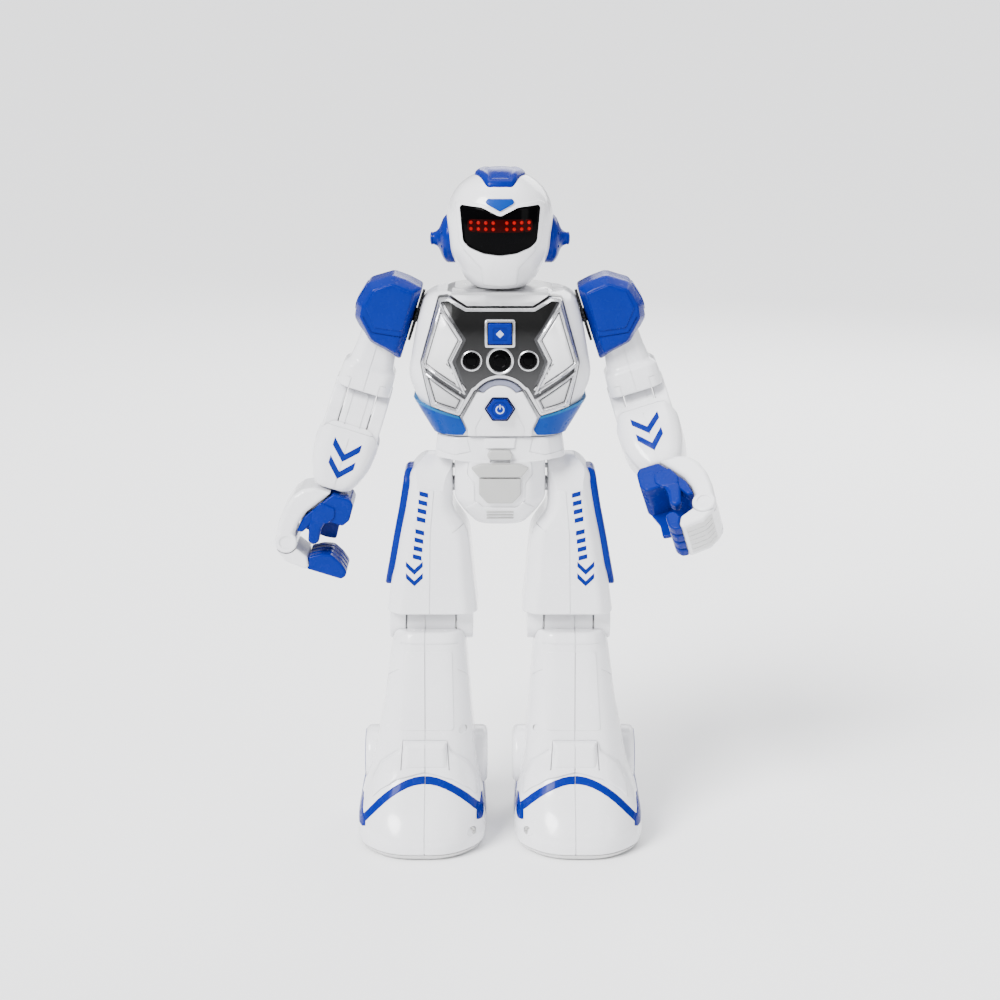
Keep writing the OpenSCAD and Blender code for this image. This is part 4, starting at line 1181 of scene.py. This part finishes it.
def make_hand(side, name):
    put = limb(name, "hand", forearm_matrix(side))
    put_finger = limb(name, "fingers", forearm_matrix(side))
    shell = slab(HAND_BACK, "y", -10.5, 10.5, 0.8, 2.0)
    shell = join(shell, disc(KNUCKLE_R, "y", -10.5, 10.5, KNUCKLE, 0.9))
    slot = bore(KNUCKLE_R + 0.35, "y", -7.7, 7.7, KNUCKLE)
    pin = bore(1.6, "y", -9, 9, KNUCKLE, 32)
    shell = join(cut(shell, slot), pin)
    for y in (-11, 10.1):
        shell = cut(shell, bore(2.6, "y", y, y + 0.9, KNUCKLE, 32))
    put("hand_back", shell, WHITE, "hand_shell")

    palm = cut(slab(PALM, "y", -9.6, 9.6, 0.7, 0.9),
               slab(inset(anticlockwise(HAND_BACK), -0.05), "y", -12, 12, 0.3, 0.01))
    thumb = slab(THUMB, "y", -10.2, -5.4, 1.2, 1.2)
    knob = slab([(8.4, -80.2), (14.4, -79.6), (16.6, -84.4), (15.8, -88.0), (9.8, -87.2), (7.4, -84)], "y",
                -10.3, -8.4, 0.9, 0.6)
    wall = slab([(2.6, -85), (12, -85), (19.6, -88), (20.2, -93.6), (17.4, -96.4), (8.4, -97.2), (4.4, -96.6),
                 (4.8, -91)], "y", 7.6, 9.6, 1.0, 0.5)
    palm = join(palm, thumb, knob, wall, disc(3.4, "z", -77.5, -66, (ARM_X, 0, 0), 0.3, 48))
    palm = cut(palm, slab(inset(anticlockwise(HAND_BACK), -0.02), "y", -12, 12, 0.3, 0.01))
    put("palm_block", palm, BLUE, "palm")

    cover = slab(COVER, "y", -10.2, 10.2, 0.7, 0.9)
    cover = join(cover, disc(KNUCKLE_R, "y", -7.35, 7.35, KNUCKLE, 0.4))
    for start, end in ((-20, -7.35), (7.35, 20)):
        cover = cut(cover, bore(KNUCKLE_R + 0.35, "y", start, end, KNUCKLE))
    cover = cut(cover, bore(1.66, "y", -20, 20, KNUCKLE, 32))
    cover_ground = Ground(cover)
    put_finger("knuckle_cover", cover, WHITE, "finger_cover")
    window = box(13.6, 24.2, -8.4, 8.4)
    ribs = laid(cover_ground, "bottom", window, [(0, 0.08), (0.2, 0.2)], low=-0.5, corner=0.6, grid=1.5)
    for k in range(5):
        y = -5.8 + 2.9 * k
        ribs = engrave(ribs, cover_ground, "bottom", 0.25, box(13.9, 23.9, y - 0.2, y + 0.2), corner=0.05)
    put_finger("knuckle_ribs", ribs, PALE)

    outline = OPEN_FINGER if side < 0 else CLOSED_FINGER
    fingers = []
    for k in range(4):
        y = -7.35 + 4.9 * k
        fingers.append(slab(outline, "y", y - 2.35, y + 2.35, 1.0, 0.9))
    web = slab(inset(anticlockwise(outline), 0.7), "y", -9.0, 9.0, 0.5, 0.2)
    put_finger("finger_set", join(*fingers, web), BLUE, "fingers")


# ------------------------------------------------------------------ legs

THIGH_ROWS = [[92.6, 17.7, 15.5, 4.5, 26.3, 0], [103, 16.4, 15.2, 4.5, 26.3, 0],
              [125, 13.4, 14.2, 4, 25.3, 0], [134, 9.3, 13.6, 4, 27.6, 0], [149, 8.1, 13, 4, 26.4, 0],
              [154.6, 4.8, 12.6, 3, 23.4, 0]]
BOOT_ROWS = [[2.4, 24.8, 37.8, 13, 31, -2.5], [8, 25.4, 38.8, 13, 31, -2.3], [16, 24.4, 35.5, 12, 31, -1.2],
             [24, 22.5, 27.5, 10, 30.5, -0.5], [31, 20.5, 21.8, 8, 30, -1.5], [42, 19, 18.8, 7, 29.4, -1.5],
             [56, 17, 16.8, 6, 28.6, -0.8], [79.4, 14.6, 15.1, 5.5, 28, 0], [84.6, 13.2, 13.2, 5, 27.8, 0]]
HIP_Z = pivot("left_hip").z
KNEE_Z = pivot("left_knee").z
HIP, KNEE, ANKLE = (0, 0, HIP_Z), (0, 0, KNEE_Z), (0, 5, 28)
HIP_R = 12.6
ROLLER_X, ROLLER_Y, ROLLER_R = 8.5, 4, 5
LEG_SEAM = 29.4
INSTEP_X = 29.6
SOLE_X = 31


def make_thigh(side, name):
    put = limb(name, "thigh", side_matrix(side))
    shape = block(THIGH_ROWS, corner=1.8, bend=3, cap=0.9)
    ground = Ground(shape)
    keep = join(bore(HIP_R, "x", 0, 60, HIP, 96), box_mesh((0, -30, 80), (60, 30, HIP_Z)))
    thigh = common(shape.copy(), keep)
    for start in (10.6, 37.0):
        ear = join(disc(8, "x", start, start + 6.4, KNEE, 0.7),
                   slab(box(-8, 8, 87, 95), "x", start, start + 6.4, 0.3, 0.5))
        thigh = join(thigh, ear)
    hollow = block([[76, 9.7, 11.5, 1, 27, 0], [105, 9.7, 11.5, 1, 27, 0], [124, 8.6, 11, 1, 26.6, 0],
                    [136, 4.6, 10.2, 1, 28.8, 0], [149, 3.8, 9, 1, 28, 0], [152, 2.4, 5.4, 1, 27.4, 0]],
                   0.5, 0.1, 0.1)
    thigh = cut(thigh, hollow, bore(3.06, "x", 10, 25, HIP, 48),
                disc(3.2, "x", 10, 25, (0, 0, pivot("left_link_swing").z), 0.01, 48))
    for start, end in ((41.9, 45), (9, 12.1)):
        thigh = cut(thigh, bore(3.4, "x", start, end, KNEE, 48))
    for view in ("front", "back"):
        seam = ribbon([(24.3, 153.6), (26.9, 125), (27.4, 93.2)], 0.4)
        shelf = ribbon([(13.2, 128.6), (18.6, 125.4)], 0.35)
        thigh = engrave(thigh, ground, view, 0.35, seam, shelf)
    put("thigh_shell", thigh, WHITE, "thigh")
    knee = join(disc(2.6, "x", 41.2, 42.6, KNEE, 0.3, 48), disc(2.6, "x", 11.4, 12.8, KNEE, 0.3, 48))
    put("knee_caps", knee, PANEL)

    outline = [(-6, 149.4), (6, 149.4), (9.6, 144.6), (10.6, 110), (6.6, 102.6), (-6.6, 102.6), (-10.6, 110),
               (-9.6, 144.6)]
    panel = laid(ground, "left", outline, rim(2.3, 1.0), corner=1.6)
    panel_ground = Ground(panel)
    slot = [(-5.4, 140.2), (5.4, 140.2), (5.9, 142.4), (-5.9, 142.4)]
    panel = engrave(panel, panel_ground, "left", 0.9, slot, corner=0.6)
    for k in range(3):
        z = 113.5 + 5.4 * k
        louvre = [(-6, z), (6, z + 1.8), (6, z + 4.0), (-6, z + 2.2)]
        panel = engrave(panel, panel_ground, "left", 0.8, louvre, corner=0.6)
    put("thigh_cover", panel, BLUE, "thigh_panel")
    for k in range(2):
        mark = laid(ground, "front", chevron(33.2, 104.2 + 4.6 * k, 3.3, 3.2, 2.1), [(0, 0.1), (0.2, 0.15)],
                    low=-0.3, corner=0.12)
        put(f"thigh_chevron_{k}", mark, BLUE)
    for k in range(8):
        z = 114.4 + 3.3 * k + (1.6 if k > 3 else 0)
        x = 33.2 - 0.11 * (z - 104)
        tick = [(x - 1.7, z), (x + 1.7, z + 0.9), (x + 1.7, z + 2.7), (x - 1.7, z + 1.8)]
        mark = laid(ground, "front", tick, [(0, 0.1), (0.2, 0.15)], low=-0.3, corner=0.12)
        put(f"thigh_tick_{k}", mark, BLUE)


def stripe_front():
    """Band over the instep, seen from the front"""
    top, bottom = [], []
    for k in range(17):
        x = -22.8 + 47.4 * k / 16
        top.append((LEG_SEAM + x, 29.5 - 0.0255 * x * x))
        bottom.append((LEG_SEAM + x, 26.8 - 0.0262 * x * x))
    return anticlockwise(top + bottom[::-1])


STRIPE_OUTER = [(-31.6, 14.4), (-30.0, 12.6), (-27.8, 11.8), (-25.4, 12.2), (-22.2, 14.4)]
STRIPE_INNER = [(-31.2, 17.5), (-29.2, 15.6), (-27.2, 14.4), (-24.8, 14.2), (-22.0, 15.2)]
STRIPE_REAR = [(-19.6, 16.6), (-17.0, 17.8), (-14.2, 17.0), (-10.4, 12.6), (-6.4, 9.4), (-2.6, 11.6),
               (3.0, 17.0), (9.0, 21.0), (16.0, 22.0), (23.5, 21.6)]
STRIPE_WIDTH = [2.6, 3.0, 3.6, 4.2, 4.5, 4.5, 4.6, 5.0, 6.0, 7.0, 7.2, 7.4, 7.6, 7.8, 7.8]


def make_boot(side, name):
    put = limb(name, "boot", side_matrix(side))
    shape = block(BOOT_ROWS, corner=9, bend=3.4, cap=1.2, steps=6)
    ground = Ground(shape)
    ankles = [disc(11.6, "x", 5, 28, ANKLE, 2.2), disc(11.6, "x", 32, 54, ANKLE, 2.2)]
    boot = join(shape.copy(), *ankles)
    for start, end in ((8, 17.5), (36.5, 50)):
        boot = cut(boot, bore(8.35, "x", start, end, KNEE, 96))
    boot = join(boot, disc(7.5, "x", 17.5, 36.5, KNEE, 0.6, 64))
    saddle_half = [(0, 42.6), (9.0, 42.6), (10.0, 38.8), (13.4, 36.4), (16.8, 33.4), (20.2, 26.6),
                   (20.8, 20.6), (17.4, 24.0), (11.0, 28.2), (0, 30.8)]
    saddle = [(x + INSTEP_X, z) for x, z in both_sides(saddle_half)]
    boot = join(boot, laid(ground, "front", saddle, rim(1.1, 0.9), low=-0.8, corner=0.8))
    tongue = slab([(20.2, 31.4), (38.6, 31.4), (37.8, 42.4), (21.0, 42.4)], "y", -24.4, -15, 1.2, 2.4)
    boot = join(boot, tongue)
    shin = [(18.0, 46.5), (39.6, 46.5), (37.6, 77.6), (18.6, 77.6)]
    boot = join(boot, laid(ground, "front", shin, rim(0.35, 0.35), low=-0.5, corner=1.2))
    collar = [(16.4, 80.2), (39.2, 80.2), (38.6, 80.7), (17.0, 80.7)]
    boot = engrave(engrave(boot, ground, "front", 0.3, collar), ground, "back", 0.3, collar)
    # engraved curves on the outer and inner faces
    for view in ("left", "right"):
        line = ribbon([(-14.4, 70), (-9.8, 66.4), (-6, 58), (-8.6, 46), (-13.2, 39.6)], 0.4)
        boot = engrave(boot, ground, view, 0.35, line)
    # lines round the tongue and along the saddle
    for s in (-1, 1):
        flank = [(INSTEP_X + s * x, z) for x, z in ((10.4, 39.2), (13.8, 36.6), (17.2, 33.6), (20.4, 27.0))]
        boot = engrave(boot, ground, "front", 0.35, ribbon(flank, 0.45))
    frame_line = ribbon([(19.9, 31.6), (20.7, 42.7), (38.1, 42.7), (38.9, 31.6)], 0.45)
    boot = engrave(boot, ground, "front", 0.35, frame_line)
    screw_places = [(11.0, 9.6, -30.4), (14.6, 46.2, -13.4)]
    for x, z, y in screw_places:
        boot = cut(boot, bore(1.7, "y", y - 12, y + 3.4, (x, 0, z), 32))
    for x, start, end in ((5, 4.4, 5.8), (54, 53.3, 54.6)):
        ring = cut(bore(8.1, "x", start, end, ANKLE, 64), bore(7.6, "x", start - 1, end + 1, ANKLE, 64))
        boot = cut(boot, ring)
    # halves meet at the centre seam
    seam = box_mesh((LEG_SEAM - 0.17, -60, 0), (LEG_SEAM + 0.17, 60, 120))
    core = join(core_of(shape, 0.5), slab([(20.2, 31.4), (38.6, 31.4), (37.8, 42.4), (21.0, 42.4)], "y",
                                          -23.9, -14, 1, 2.4),
                disc(7.0, "x", 17.7, 36.3, KNEE, 0.3, 64))
    boot = join(cut(boot, seam), cut(core, box_mesh((20, -60, 92), (40, 60, 100))))
    boot = cut(boot, bore(1.56, "x", 0, 60, KNEE, 32))
    low = pivot("left_link_swing").z - HIP_Z + KNEE_Z
    boot = cut(boot, bore(2.9, "x", 26.5, LEG_SEAM + 0.2, (0, 0, low), 32))
    lug = join(disc(2.2, "x", 24, 26.6, (0, 0, low), 0.3, 32), disc(1, "x", 26, 29.2, (0, 0, low), 0.1, 32),
               slab([(-2.2, KNEE_Z + 4), (2.2, KNEE_Z + 4), (2.2, low), (-2.2, low)], "x", 24, 26.6, 0.2,
                    0.3))
    boot = join(boot, lug)
    put("boot_shell", boot, WHITE, "boot_inner", "boot_outer")

    sole = block([[0.8, 23.4, 36.4, 12.4, 31, -2.5], [2.4, 24.6, 37.6, 13, 31, -2.5]], 9, 0.1, 0.2, steps=6)
    for x in (-ROLLER_X, ROLLER_X):
        sole = cut(sole, box_mesh((SOLE_X + x - 2.4, ROLLER_Y - 6, -1), (SOLE_X + x + 2.4, ROLLER_Y + 6, 10)))
    for x in (-14, 14):
        for y in (-28, 24):
            sole = join(sole, disc(3, "z", 0, 1.2, (SOLE_X + x, y, 0), 0.15, 32))
    for x in (-15, -0.75, 13.5):
        post = slab(box(ROLLER_Y - 2.5, ROLLER_Y + 2.5, 2, 7.6), "x", SOLE_X + x, SOLE_X + x + 1.5,
                    0.2, 0.1)
        sole = join(sole, cut(post, bore(1.05, "x", 0, 60, (0, ROLLER_Y, ROLLER_R), 24)))
    put("rounded_sole", sole, PALE, "sole")

    band = laid(ground, "front", stripe_front(), [(0, 0.12), (0.3, 0.24)], low=-0.5, corner=0.3, grid=1.5)
    put("boot_stripe_front", cut(band, seam), BLUE)
    for view, label, start in (("left", "outer", STRIPE_OUTER), ("right", "inner", STRIPE_INNER)):
        outline = ribbon(start + STRIPE_REAR, STRIPE_WIDTH)
        bm = laid(ground, view, outline, [(0, 0.1), (0.3, 0.2)], low=-0.5, corner=0.5, grid=1.5)
        bm = cut(bm, box_mesh((9.2, -60, 0), (52.8, -20, 40)), *[a.copy() for a in ankles])
        put(f"boot_stripe_{label}", bm, BLUE)
    ring = cut(disc(10.0, "x", 53.4, 54.12, ANKLE, 0.05, 96), bore(8.6, "x", 50, 57, ANKLE, 96))
    put("ankle_ring", ring, BLUE)
    dot = cut(disc(4.6, "x", 53.4, 54.1, ANKLE, 0.05, 64), bore(2.6, "x", 50, 57, ANKLE, 64))
    put("ankle_dot", dot, BRIGHT_BLUE)
    screws = []
    for x, z, y in screw_places:
        screw = disc(1.5, "y", y - 1.4, y + 3.2, (x, 0, z), 0.3, 32)
        cross = [box_mesh((x - 1.2, y - 3, z - 0.2), (x + 1.2, y - 1.0, z + 0.2)),
                 box_mesh((x - 0.2, y - 3, z - 1.2), (x + 0.2, y - 1.0, z + 1.2))]
        screws.append(cut(screw, *cross))
    put("boot_screws", join(*screws), PANEL)


make_camera()
make_stage()
dress_frame()
make_head()
make_torso()
make_shoulder_discs()
make_pelvis()
for SIDE, NAME in SIDES:
    make_shoulder_pad(SIDE, NAME)
    make_upper_arm(SIDE, NAME)
    make_forearm(SIDE, NAME)
    make_hand(SIDE, NAME)
    make_thigh(SIDE, NAME)
    make_boot(SIDE, NAME)
